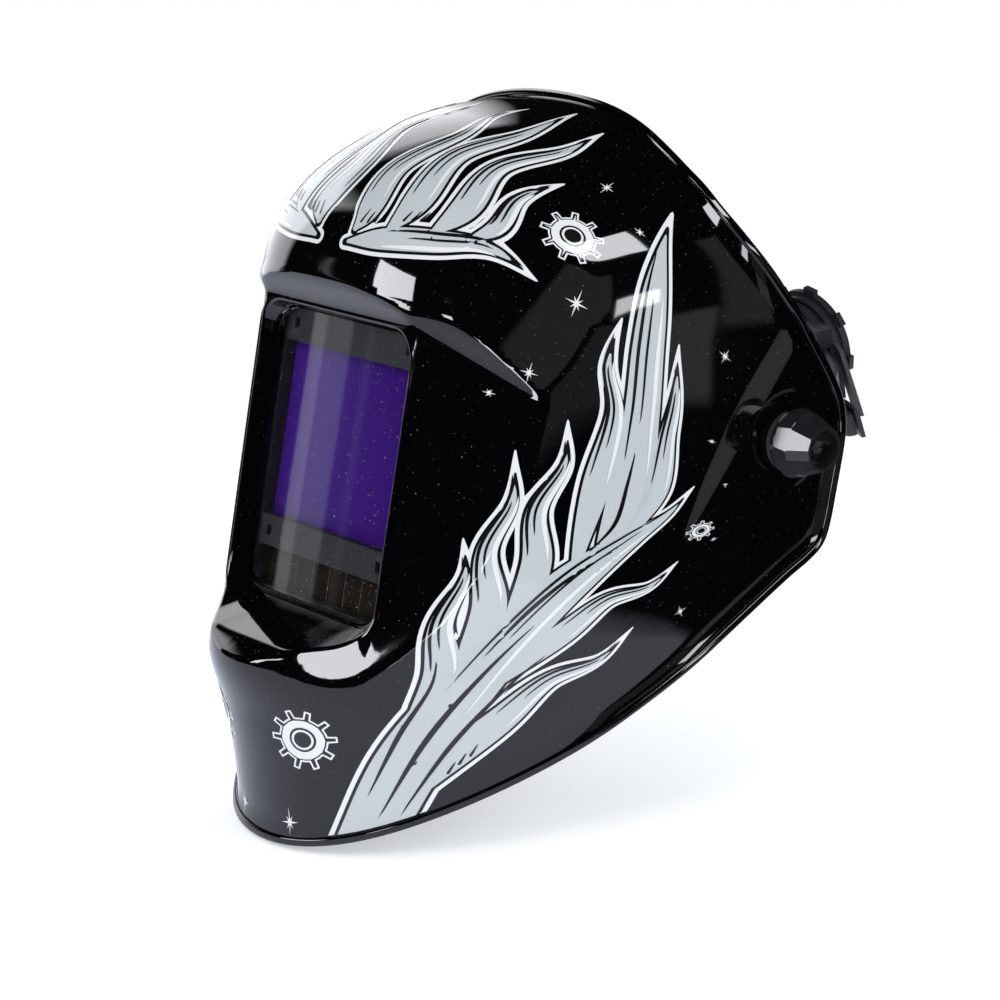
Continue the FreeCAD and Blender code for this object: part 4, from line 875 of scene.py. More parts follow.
# ---------------------------------------------------------------------------
# Print: flames, cogwheels and sparks in white, black and grey ink, transferred to
# the shell and lacquered over. Drawn in degrees: across to the side, then up.
# ---------------------------------------------------------------------------
# each tongue is a line of (across, up, width) from its root to its tip
TONGUES = (
    # on the brow and over the crown
    ((2.9, 19.0, 1.6), (3.6, 21.8, 4.6), (2.9, 27, 4.4), (4.9, 33.5, 3.2), (3.6, 39, 1.6), (4.4, 43.5, 0)),
    ((7.4, 19.9, 2.0), (8.6, 23.8, 4.8), (7.8, 30.5, 4.2), (10.4, 37.5, 2.9), (9.4, 46.5, 0)),
    ((12.2, 20.9, 2.0), (13.6, 24.9, 4.4), (12.9, 31, 3.6), (15.8, 37.5, 2.4), (15.6, 44.5, 0)),
    ((15.6, 21.6, 1.6), (17.4, 24.4, 3.2), (17.2, 28.6, 2.4), (19.4, 33.5, 0)),
    ((2.2, 17.9, 1.6), (7, 19.0, 3.6), (13, 20.4, 3.8), (18, 21.9, 2.4), (22.8, 20.8, 0)),
    # tall flame on the temple and its companions
    ((33.2, -15.4, 3), (36.4, -4, 6.6), (36.2, 9, 5.6), (34.4, 20, 5), (32.2, 29, 3.8), (28.6, 40.5, 0)),
    ((30.6, -15.6, 2.4), (32.6, -3, 4.4), (33.2, 8, 3.2), (31.2, 15, 2), (30.8, 22.5, 0)),
    ((35.4, -14, 2), (39.6, -4, 4.6), (39.8, 8, 3.4), (39.2, 15.5, 2.2), (37.2, 24, 0)),
    # fire that climbs the cheek from the chin
    ((9.2, -41, 6.2), (14.2, -34, 7.4), (20.0, -27.6, 7), (25.6, -21.8, 6.8), (31, -16.8, 6.4),
     (36.6, -12.6, 4.4), (41.6, -8.6, 2.2), (45.4, -2.6, 0)),
    ((15.6, -31, 4), (18.2, -25.4, 4.4), (18.6, -19.6, 3.4), (20.6, -14.6, 2.0), (20.2, -9.8, 0)),
    ((20.4, -25.6, 4.4), (22.6, -18.6, 4.4), (22.6, -11.6, 3.4), (24.8, -5.4, 2.1), (24.4, 1.5, 0)),
    ((25.2, -20.6, 4.4), (27.0, -13.6, 4.2), (27.0, -6.6, 3.2), (29.2, -0.1, 1.9), (28.8, 6.5, 0)),
    ((14.6, -36, 4.4), (21.5, -33, 4.8), (26.5, -30.6, 3.6), (31.5, -31.2, 2), (36, -28.6, 0)),
    ((21.6, -27.4, 4.4), (28.4, -25, 4.6), (33.5, -22.2, 3.6), (38.5, -22.6, 2.2), (43, -19.6, 0)),
)
# long brush strokes in the body of the fire on the cheek, and short hatching by its edge
STROKES = (
    ((11.0, -38.4, 0.1), (16.0, -32.0, 0.55), (21.6, -26.4, 0.4), (27.4, -21.4, 0)),
    ((12.6, -38.8, 0.1), (18.0, -33.2, 0.5), (23.6, -28.8, 0.3), (28, -26.4, 0)),
    ((10.6, -36, 0.1), (14, -30.8, 0.45), (17.2, -26.4, 0.3), (18.2, -22.4, 0)),
    ((21.6, -24.6, 0.1), (26.2, -20.0, 0.5), (31, -16.2, 0.35), (36, -13.4, 0)),
    ((32, -13.6, 0.1), (34.9, -9.2, 0.5), (36, -2, 0.35), (36.4, 5, 0)),
    ((16.8, -36.4, 0.3), (18.1, -34.9, 0)), ((17.8, -35.9, 0.3), (19.1, -34.4, 0)),
    ((18.8, -35.5, 0.3), (20, -34.1, 0)),
    ((8.6, 21.4, 0.3), (9.2, 23.4, 0)), ((9.5, 21.6, 0.3), (10.1, 23.5, 0)), ((10.4, 21.9, 0.3), (11, 23.6, 0)),
    ((3.4, 20.2, 0.3), (4, 22.4, 0)), ((4.3, 20.3, 0.3), (4.8, 22.4, 0)), ((5.2, 20.5, 0.3), (5.6, 22.3, 0)),
)
# centre across and up, radius, teeth
COGS = ((23.4, 27.6, 3.1, 9), (6.2, -29.6, 3.1, 10), (46.4, -14.5, 2.4, 8))
# centre across and up, longest ray
SPARKS = ((26.4, 20.6, 1.5), (24.4, 10.5, 1.1), (43.5, 27, 1.4), (46.5, 8, 1.0), (20.8, 7, 0.9), (3.4, -37.5, 1.1),
          (10.4, -35.6, 0.8), (41.6, -31, 1.1), (48.5, -18, 0.9), (28, 33.5, 0.9), (50.5, -3, 0.8), (22.4, 36, 1.1))
INK_LIFT = {"white": 0.09, "black": 0.15, "grey": 0.31, "line": 0.43}


def tongue(line, inset):
    """Outline of a tapered stroke, drawn in by inset all round."""
    p = smooth_line(np.array(line, float), 10)
    run = np.gradient(p[:, :2], axis=0)
    run /= np.linalg.norm(run, axis=1, keepdims=True)
    side = np.stack((-run[:, 1], run[:, 0]), -1)
    half = np.maximum(p[:, 2] / 2 - inset, 0)
    keep = half > 0.04
    if inset:
        keep &= np.cumsum(np.linalg.norm(np.gradient(p[:, :2], axis=0), axis=1)) > inset
    first, last = np.nonzero(keep)[0][[0, -1]]
    tip = p[last, :2] + run[last] * half[last] * 1.6
    left, right = p[keep, :2] + side[keep] * half[keep, None], p[keep, :2] - side[keep] * half[keep, None]
    turn_by = np.radians(np.linspace(-75, 75, 7))[:, None]
    root = p[first, :2] - half[first] * (run[first] * np.cos(turn_by) - side[first] * np.sin(turn_by))
    return np.vstack((left, tip[None], right[::-1], root))


def brush(line, shift, width, start, end):
    """A thin tapered brush stroke inside a tongue, beside its middle."""
    p = smooth_line(np.array(line, float), 10)
    run = np.gradient(p[:, :2], axis=0)
    run /= np.linalg.norm(run, axis=1, keepdims=True)
    side = np.stack((-run[:, 1], run[:, 0]), -1)
    t = np.linspace(0, 1, len(p))
    part = (t >= start) & (t <= end)
    u = (t[part] - start) / (end - start)
    half = width / 2 * np.sin(np.pi * np.clip(u, 0, 1)) ** 0.7 + 0.015
    middle = p[part, :2] + side[part] * (p[part, 2] * shift)[:, None]
    return np.vstack((middle + side[part] * half[:, None], (middle - side[part] * half[:, None])[::-1]))


def drawn_in(outline, inset):
    """A counter-clockwise outline moved inwards by inset, corners kept sharp."""
    ahead = np.roll(outline, -1, axis=0) - outline
    ahead /= np.linalg.norm(ahead, axis=1, keepdims=True)
    inward = np.stack((-ahead[:, 1], ahead[:, 0]), -1)
    both = inward + np.roll(inward, 1, axis=0)
    return outline + both * inset / np.maximum(np.sum(both * inward, axis=1, keepdims=True), 0.5)


def cog(across, up, radius, teeth, inset):
    """A cogwheel's outline, drawn in by inset."""
    turns = (np.arange(teeth)[:, None] + np.array((0.0, 0.30, 0.38, 0.70, 0.78))).ravel() * 2 * math.pi / teeth
    reach = radius * np.tile((0.74, 0.74, 1.0, 1.0, 0.74), teeth)
    return drawn_in(np.stack((across + reach * np.cos(turns + 0.2), up + reach * np.sin(turns + 0.2)), -1), inset)


def ring_line(across, up, radius, sides=40):
    a = np.linspace(0, 2 * math.pi, sides, endpoint=False)
    return np.stack((across + radius * np.cos(a), up + radius * np.sin(a)), -1)


def spark(across, up, radius):
    a = np.arange(16) * math.pi / 8
    reach = radius * np.where(np.arange(16) % 2 == 0, np.where(np.arange(16) % 4 == 0, 1.0, 0.55), 0.18)
    return np.stack((across + 0.8 * reach * np.cos(a), up + 1.25 * reach * np.sin(a)), -1)


def in_outline(points, outline):
    a, b = outline, np.roll(outline, -1, axis=0)
    x, y = points[:, None, 0], points[:, None, 1]
    crosses = (a[:, 1] > y) != (b[:, 1] > y)
    with np.errstate(divide="ignore", invalid="ignore"):
        at = (b[:, 0] - a[:, 0]) * (y - a[:, 1]) / (b[:, 1] - a[:, 1]) + a[:, 0]
    return np.sum(crosses & (x < at), axis=1) % 2 == 1


def fill(outline, spacing=0.46):
    """Triangles of a flat outline, with inner points close enough to follow the shell."""
    low, high = outline.min(0), outline.max(0)
    grid = np.stack(np.meshgrid(np.arange(low[0], high[0], spacing), np.arange(low[1], high[1], spacing)), -1)
    grid = grid.reshape(-1, 2)
    grid[:, 0] += (np.round(grid[:, 1] / spacing) % 2) * spacing / 2
    grid = grid[in_outline(grid, outline)]
    count = len(outline)
    if len(grid):
        nearest_edge = np.min(np.linalg.norm(grid[:, None] - outline[None], axis=-1), axis=1)
        grid = grid[nearest_edge > spacing * 0.45]
    flat = [Vector(p) for p in np.vstack((outline, grid))]
    edges = [(i, (i + 1) % count) for i in range(count)]
    made = geometry.delaunay_2d_cdt(flat, edges, [], 1, 1e-6)
    return np.array([tuple(v) for v in made[0]]), made[2]


ink = {"white": [], "black": [], "grey": []}
for line in TONGUES:
    ink["white"].append((tongue(line, 0), INK_LIFT["white"]))
    ink["black"].append((tongue(line, 0.42), INK_LIFT["black"]))
    ink["grey"].append((tongue(line, 0.72), INK_LIFT["grey"]))
    ink["black"].append((brush(line, 0.22, 0.34, 0.26, 0.90), INK_LIFT["line"]))
    ink["black"].append((brush(line, 0.03, 0.24, 0.36, 0.78), INK_LIFT["line"]))
    ink["white"].append((brush(line, -0.22, 0.46, 0.24, 0.78), INK_LIFT["line"]))
for line in STROKES:
    ink["black"].append((tongue(line, 0), INK_LIFT["line"]))
for across, up, radius, teeth in COGS:
    ink["white"].append((cog(across, up, radius, teeth, 0), INK_LIFT["white"]))
    ink["black"].append((cog(across, up, radius, teeth, 0.17), INK_LIFT["black"]))
    ink["white"].append((cog(across, up, radius, teeth, 0.30), INK_LIFT["grey"]))
    ink["black"].append((ring_line(across, up, radius * 0.40), INK_LIFT["line"]))
    ink["white"].append((ring_line(across, up, radius * 0.33), INK_LIFT["line"] + 0.05))
    ink["black"].append((ring_line(across, up, radius * 0.26), INK_LIFT["line"] + 0.10))
for across, up, radius in SPARKS:
    ink["white"].append((spark(across, up, radius), INK_LIFT["white"]))

INKS = {"white": (0.80, 0.82, 0.84), "black": (0.006, 0.006, 0.007), "grey": (0.53, 0.57, 0.60)}
for tone, shapes in ink.items():
    sheet = bmesh.new()
    height = sheet.verts.layers.float.new("height")
    for outline, lift_by in shapes:
        for hand in (1, -1):
            verts, faces = fill(outline)
            made = []
            for across, up in verts:
                vert = sheet.verts.new((math.radians(across) * hand, math.radians(up), 0))
                vert[height] = lift_by
                made.append(vert)
            for face in faces:
                sheet.faces.new([made[i] for i in (face if hand == 1 else face[::-1])])
    trim(sheet, rim_measure(EDGE_LIP - EDGE_WIDE - 0.5))
    theta, latitude = ray_angles(sheet)
    points, normals = outer_face(theta, latitude)
    layer = sheet.verts.layers.float_vector.new("form_normal")
    for vert, co, normal in zip(sheet.verts, points, normals):
        vert.co = co + normal * vert[height]
        vert[layer] = normal
    for face in sheet.faces:
        face.normal_update()
        if face.normal.dot(Vector(face.verts[0][layer])) < 0:
            face.normal_flip()
    printed = bpy.data.objects.new("print_" + tone, bpy.data.meshes.new("print_" + tone))
    scene.collection.objects.link(printed)
    finish_form(printed, sheet, layer)
    lacquer = Maker(new_material("ink_" + tone).node_tree)
    speck = lacquer.noise(2600.0, 1.0).between(0.52, 0.66)
    cloud = lacquer.noise(26.0, 3.0)
    base = INKS[tone]
    worn = tuple(c * (0.86 if tone != "black" else 1.6) for c in base)
    lacquer.finish(lacquer.node("ShaderNodeBsdfPrincipled", {}, {
        "Base Color": lacquer.blend(speck * 0.35 + cloud * 0.5, colour(*base), colour(*worn)),
        "Roughness": 0.035 + cloud * 0.03,
        "IOR": 1.5,
        "Normal": lacquer.bump(lacquer.noise(55.0, 2.0), 0.05, 0.0006)}))
    printed.data.materials.append(bpy.data.materials["ink_" + tone])
    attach(printed, "helmet")

# ---------------------------------------------------------------------------
# Auto-darkening filter: two moulded case halves round the liquid-crystal glass, a
# strip of solar cells, four light sensors and a circuit board with two coin cells.
# ---------------------------------------------------------------------------
def dress(material, slot, *nodes):
    """Give CAD pieces as they are a finish."""
    for node in nodes:
        piece = frame["nodes"][node]
        for holder in piece.material_slots:
            holder.material = material


def crisp(piece, angle):
    """Smooth shading that keeps large faces flat and turns over the rounded edges."""
    select_only(piece)
    bpy.ops.object.shade_smooth_by_angle(angle=math.radians(angle))
    weighting = piece.modifiers.new("weighting", "WEIGHTED_NORMAL")
    weighting.keep_sharp, weighting.weight = True, 90
    finish_modifiers(piece)


def edged(node, material, width, angle=32.0):
    """The moulded or turned piece with its sharp edges broken by a small round."""
    source = frame["nodes"][node]
    piece = source.copy()
    piece.data = source.data.copy()
    scene.collection.objects.link(piece)
    body = source["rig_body"]
    for key in list(piece.keys()):
        del piece[key]
    piece.parent = None
    piece.name = node + "_finished"
    select_only(piece)
    if piece.data.has_custom_normals:
        bpy.ops.mesh.customdata_custom_splitnormals_clear()
    merged = bmesh.new()
    merged.from_mesh(piece.data)
    bmesh.ops.remove_doubles(merged, verts=merged.verts, dist=1e-6)
    bmesh.ops.dissolve_limit(merged, angle_limit=math.radians(0.6), verts=merged.verts, edges=merged.edges)
    merged.to_mesh(piece.data)
    merged.free()
    rounding = piece.modifiers.new("rounding", "BEVEL")
    rounding.width, rounding.segments = width / 1000, 2
    rounding.limit_method, rounding.angle_limit = "ANGLE", math.radians(angle)
    rounding.use_clamp_overlap = True
    finish_modifiers(piece)
    crisp(piece, 40)
    piece.data.materials.clear()
    piece.data.materials.append(material)
    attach(piece, body)
    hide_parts(node)
    return piece


def plastic(name, tone, roughness, grain=1500.0, depth=0.12, cloudy=0.35, specular=0.5):
    """Moulded plastic: fine spark-eroded grain, cloudy tone and a few rubbed spots."""
    maker = Maker(new_material(name).node_tree)
    cloud = maker.noise(30.0, 3.0)
    fine = maker.noise(grain, 2.0)
    rubbed = maker.noise(75.0, 4.0, 0.65).between(0.60, 0.74)
    pale = tuple(min(c * 1.7 + 0.006, 1.0) for c in tone)
    maker.finish(maker.node("ShaderNodeBsdfPrincipled", {}, {
        "Base Color": maker.blend(cloud * cloudy + rubbed * 0.25, colour(*tone), colour(*pale)),
        "Roughness": roughness + cloud * 0.06 - rubbed * 0.07 + fine * 0.04,
        "Specular IOR Level": specular,
        "Normal": maker.bump(fine, depth, 0.0003)}))
    return bpy.data.materials[name]


def metal(name, tone, roughness, turned=(1, 1, 1)):
    """Bare metal with fine drawing marks and a little tarnish."""
    maker = Maker(new_material(name).node_tree)
    marks = maker.noise(700.0, 2.0, 0.6, stretch=turned)
    tarnish = maker.noise(60.0, 4.0, 0.6)
    dark = tuple(c * 0.6 for c in tone)
    maker.finish(maker.node("ShaderNodeBsdfPrincipled", {}, {
        "Base Color": maker.blend(tarnish.between(0.45, 0.75), colour(*tone), colour(*dark)),
        "Metallic": 1.0,
        "Roughness": roughness + marks * 0.12 + tarnish * 0.08,
        "Normal": maker.bump(marks, 0.15, 0.0002)}))
    return bpy.data.materials[name]


def clear_sheet(name, tint, dusty):
    """Clear polycarbonate: mirror gloss by angle, hairline scratches and dust."""
    maker = Maker(new_material(name).node_tree)
    hairs = maker.noise(800.0, 2.0, 0.6, stretch=(0.06, 1, 1)).between(0.74, 0.84)
    specks = maker.noise(1500.0, 0.0).between(0.835, 0.86)
    entering = 1.0 - maker.node("ShaderNodeNewGeometry", output="Backfacing")
    sheen = maker.node("ShaderNodeFresnel", {}, {"IOR": 1.6}) * entering
    through = maker.node("ShaderNodeBsdfTransparent", {}, {"Color": colour(*tint)})
    mirror = maker.node("ShaderNodeBsdfPrincipled", {}, {
        "Base Color": WHITE, "Metallic": 1.0, "Roughness": 0.012 + hairs * 0.1})
    film = maker.node("ShaderNodeMixShader", {}, {0: (sheen + hairs * entering * 0.015).clamped(), 1: through, 2: mirror})
    grit = maker.node("ShaderNodeBsdfPrincipled", {}, {"Base Color": colour(0.5, 0.5, 0.52), "Roughness": 0.8})
    maker.finish(maker.node("ShaderNodeMixShader", {}, {0: specks * dusty, 1: film, 2: grit}))
    return bpy.data.materials[name]


dress(clear_sheet("cover_sheet", (0.95, 0.955, 0.96), 0.8), "clear_sheet", "cover_lens_front")
dress(clear_sheet("inner_sheet", (0.97, 0.97, 0.975), 0.3), "clear_sheet", "cover_lens_inner")

case_plastic = plastic("case_plastic", (0.014, 0.014, 0.016), 0.42, 1200.0, 0.10, specular=0.3)
for node in ("filter_case_front", "filter_case_back"):
    edged(node, case_plastic, 0.3)

# the glass is a purple mirror coating over liquid crystal, slightly uneven in tone at random, and darker in a
# straight ramp towards the wearer's left side
coated = Maker(new_material("filter_coating").node_tree)
drift = coated.noise(9.0, 2.0)
across_glass_ramp = coated.node("ShaderNodeSeparateXYZ", {}, {0: coated.place()}, output=0).between(-0.055, 0.055)
coated.finish(coated.node("ShaderNodeBsdfPrincipled", {}, {
    "Base Color": coated.blend(drift * 0.5 + across_glass_ramp * 0.5, colour(0.065, 0.016, 0.27), colour(0.040, 0.006, 0.155)),
    "Roughness": 0.06 + drift * 0.03,
    "IOR": 1.45,
    "Normal": coated.bump(coated.noise(40.0, 2.0), 0.02, 0.0004)}))
dress(bpy.data.materials["filter_coating"], "filter_purple", "filter_glass")

# eight cells of brown amorphous silicon with thin silver lines between them
solar = Maker(new_material("solar_cells").node_tree)
along = solar.node("ShaderNodeSeparateXYZ", {}, {0: solar.place()}, output=0)
saw = ((along + 0.0505) * (8 / 0.101)).math("FRACT")
line = ((saw - 0.5).math("ABSOLUTE") > 0.487)
mottle = solar.noise(220.0, 3.0)
solar.finish(solar.node("ShaderNodeBsdfPrincipled", {}, {
    "Base Color": solar.blend(line, solar.blend(mottle, colour(0.010, 0.0065, 0.004), colour(0.022, 0.014, 0.008)),
                              colour(0.10, 0.09, 0.08)),
    "Roughness": 0.16 + mottle * 0.06}))
dress(bpy.data.materials["solar_cells"], "solar_brown", "solar_panel")

sensor = Maker(new_material("sensor_face").node_tree)
spot = sensor.noise(500.0, 2.0)
sensor.finish(sensor.node("ShaderNodeBsdfPrincipled", {}, {
    "Base Color": sensor.blend(spot, colour(0.004, 0.004, 0.006), colour(0.02, 0.012, 0.03)), "Roughness": 0.1}))
dress(bpy.data.materials["sensor_face"], "sensor_dark", "arc_sensors")

board = Maker(new_material("board_lacquer").node_tree)
tracks = board.node("ShaderNodeTexBrick", {}, {
    "Vector": board.place(turn=(math.radians(90), 0, 0)), "Scale": 260.0, "Mortar Size": 0.08,
    "Color1": colour(0.008, 0.075, 0.025), "Color2": colour(0.010, 0.10, 0.035), "Mortar": colour(0.16, 0.2, 0.06)})
board.finish(board.node("ShaderNodeBsdfPrincipled", {}, {"Base Color": tracks, "Roughness": 0.3}))
dress(bpy.data.materials["board_lacquer"], "board_green", "circuit_board")

nickel = metal("cell_nickel", (0.66, 0.65, 0.62), 0.2)
dress(nickel, "cell_steel", "coin_cells")

# control side: grey dials, battery doors, test button and red lamp
control_grey = plastic("control_plastic", (0.085, 0.088, 0.095), 0.42, 1600.0, 0.14)
for node in ("sensitivity_dial", "shade_dial", "delay_dial", "battery_cover_left", "battery_cover_right"):
    edged(node, control_grey, 0.18)
button_red = plastic("button_plastic", (0.30, 0.018, 0.012), 0.35, 1600.0, 0.08)
edged("test_button", button_red, 0.3)
lamp_glow = Maker(new_material("lamp_lens").node_tree)
streaks = lamp_glow.noise(900.0, 2.0)
lamp_glow.finish(lamp_glow.node("ShaderNodeBsdfPrincipled", {}, {
    "Base Color": lamp_glow.blend(streaks, colour(0.42, 0.01, 0.008), colour(0.65, 0.03, 0.02)), "Roughness": 0.12}))
edged("indicator_lamp", bpy.data.materials["lamp_lens"], 0.5)
edged("retaining_frame", case_plastic, 0.4)
pin_steel = metal("pin_steel", (0.56, 0.56, 0.57), 0.28, turned=(0.05, 1, 1))
dress(pin_steel, "bolt_steel", "retaining_pins")

# ---------------------------------------------------------------------------
# Pivots: on each side a bolt with a square neck carries the stop plate, the rubber
# washers and the shell, and a knob with a brass nut clamps them.
# ---------------------------------------------------------------------------
knob_plastic = plastic("knob_plastic", (0.011, 0.011, 0.013), 0.08, 1300.0, 0.03, cloudy=0.25)
rubber = plastic("washer_rubber", (0.010, 0.010, 0.011), 0.34, 900.0, 0.10)
dark_brass = metal("insert_metal", (0.085, 0.072, 0.055), 0.34)
bolt_zinc = metal("bolt_zinc", (0.15, 0.15, 0.16), 0.28, turned=(0.06, 1, 1))

KNOB_FOOT, KNOB_LONG, KNOB_SIDES, KNOB_PHASE = 115.1, 20.4, 6, 41.0
# knob's turned profile: along the axis from its foot, radius
KNOB_PROFILE = ((0, 3.4), (0, 14.6), (0.5, 15.3), (2.2, 15.5), (2.5, 15.2), (2.9, 15.2), (3.4, 16.4),
                (20.4, 11.9), (20.4, 8.9), (11.4, 8.9), (11.4, 3.4))


def turned(name, profile, steps=120):
    """A ring of this profile (along, radius) in millimetres, turned about the pivot axis."""
    made = bpy.data.objects.new(name, bpy.data.meshes.new(name))
    scene.collection.objects.link(made)
    form_mesh = bmesh.new()
    corners = [form_mesh.verts.new((along / 1000, 0, radius / 1000)) for along, radius in profile]
    edges = [form_mesh.edges.new((a, b)) for a, b in zip(corners, corners[1:] + corners[:1])]
    bmesh.ops.spin(form_mesh, geom=corners + edges, cent=(0, 0, 0), axis=(1, 0, 0), angle=2 * math.pi, steps=steps)
    bmesh.ops.remove_doubles(form_mesh, verts=form_mesh.verts, dist=1e-7)
    bmesh.ops.recalc_face_normals(form_mesh, faces=form_mesh.faces)
    form_mesh.to_mesh(made.data)
    form_mesh.free()
    return made


def knob_cutter(start, stop, radius_start, radius_stop, half_width, round_by, turn_by):
    """A block whose inner face runs from one radius down to the other, turned about the axis."""
    bpy.ops.mesh.primitive_cube_add(size=1.0)
    cutter = bpy.context.object
    slope = (radius_stop - radius_start) / (stop - start)
    for vert in cutter.data.vertices:
        along = start if vert.co.x < 0 else stop + 3
        reach = radius_start + slope * (along - start)
        if vert.co.z > 0:
            reach += 8
        vert.co = Vector((along, vert.co.y * 2 * half_width, reach)) / 1000
    if round_by:
        soften = cutter.modifiers.new("soften", "BEVEL")
        soften.width, soften.segments = round_by / 1000, 4
        finish_modifiers(cutter)
    cutter.data.transform(Matrix.Rotation(math.radians(turn_by), 4, "X"))
    return cutter


def cut_away(piece, cutters):
    for cutter in cutters:
        taking = piece.modifiers.new("cut", "BOOLEAN")
        taking.operation, taking.solver, taking.object = "DIFFERENCE", "EXACT", cutter
    finish_modifiers(piece)
    for cutter in cutters:
        bpy.data.objects.remove(cutter)


# a cone with six flats, and between them sunk panels that notch the front rim
knob = turned("tension_knob", KNOB_PROFILE)
turns = [KNOB_PHASE - 90 + 360 / KNOB_SIDES * k for k in range(KNOB_SIDES)]
cut_away(knob, [knob_cutter(3.2, KNOB_LONG, 15.85, 10.2, 9.0, 0, a) for a in turns])
cut_away(knob, [knob_cutter(9.6, KNOB_LONG, 14.35, 10.1, 3.5, 1.1, a + 30) for a in turns])
merged = bmesh.new()
merged.from_mesh(knob.data)
bmesh.ops.remove_doubles(merged, verts=merged.verts, dist=2e-6)
bmesh.ops.dissolve_limit(merged, angle_limit=math.radians(0.5), verts=merged.verts, edges=merged.edges)
merged.to_mesh(knob.data)
merged.free()
rounding = knob.modifiers.new("rounding", "BEVEL")
rounding.width, rounding.segments = 0.0003, 3
rounding.limit_method, rounding.angle_limit = "ANGLE", math.radians(9)
finish_modifiers(knob)
crisp(knob, 40)
knob.data.materials.append(knob_plastic)
knob.data.transform(Matrix.Translation((KNOB_FOOT / 1000, 0, 0)))
other_knob = knob.copy()
other_knob.data = knob.data.copy()
scene.collection.objects.link(other_knob)
other_knob.data.transform(Matrix.Diagonal((-1, 1, 1, 1)))
other_knob.data.flip_normals()
for side, handed in (("_left", knob), ("_right", other_knob)):
    handed.name = "tension_knob%s_finished" % side
    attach(handed, "tension" + side)
    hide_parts("tension_knob" + side)
for side in ("_left", "_right"):
    edged("outer_washer" + side, rubber, 0.45)
    edged("inner_washer" + side, rubber, 0.3)
    edged("tilt_stop" + side, knob_plastic, 0.4)
    edged("pivot_bolt" + side, bolt_zinc, 0.25)
    dress(bolt_zinc, "bolt_steel", "spring_washer" + side)
    edged("knob_insert" + side, dark_brass, 0.2)

# ---------------------------------------------------------------------------
# Headgear: injection-moulded nylon band, brackets and crown straps, snapped
# together with plastic rivets, and the ratchet that draws the band in at the nape.
# ---------------------------------------------------------------------------
band_nylon = plastic("band_nylon", (0.016, 0.016, 0.017), 0.36, 1100.0, 0.16)
gear_nylon = plastic("ratchet_nylon", (0.020, 0.021, 0.024), 0.16, 1100.0, 0.05)
for node, width in (("headband_front", 0.4), ("side_bracket_left", 0.5), ("side_bracket_right", 0.5),
                    ("crown_strap_left", 0.35), ("crown_strap_right", 0.35), ("rack_strap_left", 0.12),
                    ("rack_strap_right", 0.12), ("nape_plate", 0.4), ("ratchet_housing_inner", 0.4)):
    edged(node, band_nylon, width)
for node, width in (("bracket_rivets", 0.4), ("crown_strap_pins", 0.4), ("crown_strap_rivets", 0.4)):
    edged(node, gear_nylon, width)
for node, width in (("ratchet_housing_outer", 0.4), ("ratchet_knob", 0.5), ("ratchet_knob_cap", 0.3),
                    ("click_wheel", 0.15), ("ratchet_pinion", 0.08)):
    edged(node, gear_nylon, width)
for node in ("housing_screws", "ratchet_screw", "nape_screws"):
    edged(node, pin_steel, 0.25)

# ---------------------------------------------------------------------------
# Pads: a sweatband on the brow, a crown pad and a nape pad, all soft foam under a
# knitted black cover, blown up a little by their filling.
# ---------------------------------------------------------------------------
cloth = Maker(new_material("pad_knit").node_tree)
ribs = cloth.node("ShaderNodeTexWave", {"wave_type": "BANDS", "bands_direction": "DIAGONAL"}, {
    "Vector": cloth.place(), "Scale": 420.0, "Distortion": 1.5, "Detail": 1.0}, output=1)
cross = cloth.node("ShaderNodeTexWave", {"wave_type": "BANDS", "bands_direction": "Z"}, {
    "Vector": cloth.place(), "Scale": 520.0, "Distortion": 1.0, "Detail": 1.0}, output=1)
knit = ribs * 0.6 + cross * 0.4
fuzz = cloth.noise(1700.0, 3.0, 0.6)
patchy = cloth.noise(28.0, 3.0)
cloth.finish(cloth.node("ShaderNodeBsdfPrincipled", {}, {
    "Base Color": cloth.blend(knit * 0.5 + patchy * 0.35 + fuzz * 0.2, colour(0.012, 0.012, 0.014), colour(0.050, 0.050, 0.056)),
    "Roughness": 0.86 + fuzz * 0.1,
    "Sheen Weight": 0.35,
    "Sheen Roughness": 0.5,
    "Normal": cloth.bump(knit * 0.7 + fuzz * 0.3, 0.55, 0.0006)}))


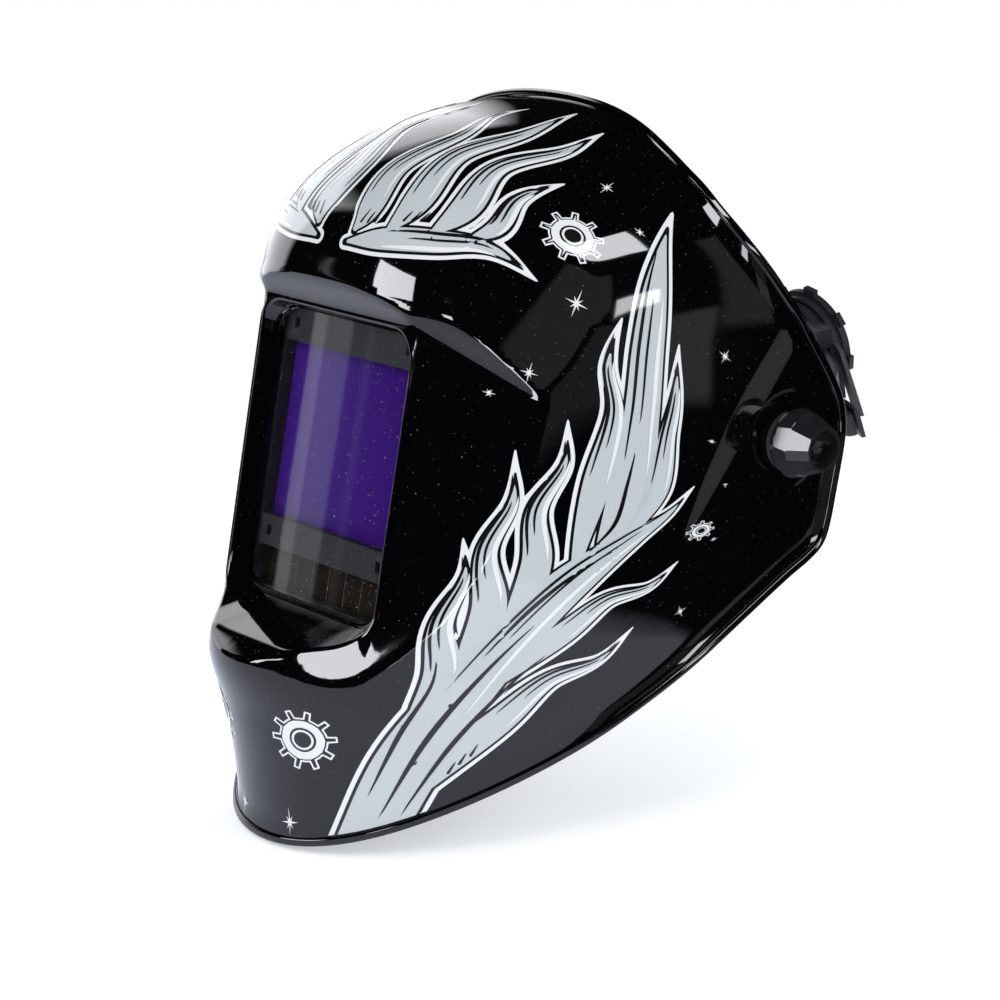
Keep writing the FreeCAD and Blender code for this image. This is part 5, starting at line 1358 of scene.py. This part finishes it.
def stuffed(node, voxel, shrink, cap):
    """A soft pad in its CAD solid's place, swelled by cloth pressure."""
    source = frame["nodes"][node]
    piece = bpy.data.objects.new(node + "_soft", source.data.copy())
    scene.collection.objects.link(piece)
    select_only(piece)
    merged = bmesh.new()
    merged.from_mesh(piece.data)
    bmesh.ops.remove_doubles(merged, verts=merged.verts, dist=1e-6)
    merged.to_mesh(piece.data)
    merged.free()
    piece.data.remesh_voxel_size = voxel
    bpy.ops.object.voxel_remesh()
    smoothing = piece.modifiers.new("smoothing", "SMOOTH")
    smoothing.factor, smoothing.iterations = 0.5, 6
    finish_modifiers(piece)
    count = len(piece.data.vertices)
    start, normals = np.empty(count * 3), np.empty(count * 3)
    piece.data.vertices.foreach_get("co", start)
    piece.data.vertices.foreach_get("normal", normals)
    start, normals = start.reshape(-1, 3), normals.reshape(-1, 3)
    drawn = start - normals * shrink
    piece.data.vertices.foreach_set("co", drawn.ravel())
    swell = piece.modifiers.new("swell", "CLOTH")
    swell.settings.use_pressure = True
    swell.settings.uniform_pressure_force = 4.0
    swell.settings.effector_weights.gravity = 0.0
    swell.settings.quality = 4
    swell.point_cache.frame_start, swell.point_cache.frame_end = 1, 20
    for step in range(1, 21):
        scene.frame_set(step)
    held = piece.evaluated_get(bpy.context.evaluated_depsgraph_get())
    blown = np.empty(count * 3)
    held.data.vertices.foreach_get("co", blown)
    moved = blown.reshape(-1, 3) - drawn
    far = np.linalg.norm(moved, axis=1, keepdims=True)
    moved *= np.minimum(1.0, cap / np.maximum(far, 1e-9))
    piece.modifiers.remove(swell)
    piece.data.vertices.foreach_set("co", (drawn + moved).ravel())
    scene.frame_set(1)
    finer = piece.modifiers.new("finer", "SUBSURF")
    finer.levels = finer.render_levels = 1
    finish_modifiers(piece)
    bpy.ops.object.shade_smooth()
    piece.data.materials.clear()
    piece.data.materials.append(bpy.data.materials["pad_knit"])
    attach(piece, "headgear")
    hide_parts(node)
    return piece


stuffed("sweatband_front", 0.0022, 0.0005, 0.0009)
stuffed("crown_pad", 0.0020, 0.0005, 0.0009)
stuffed("nape_pad", 0.0022, 0.0005, 0.0009)
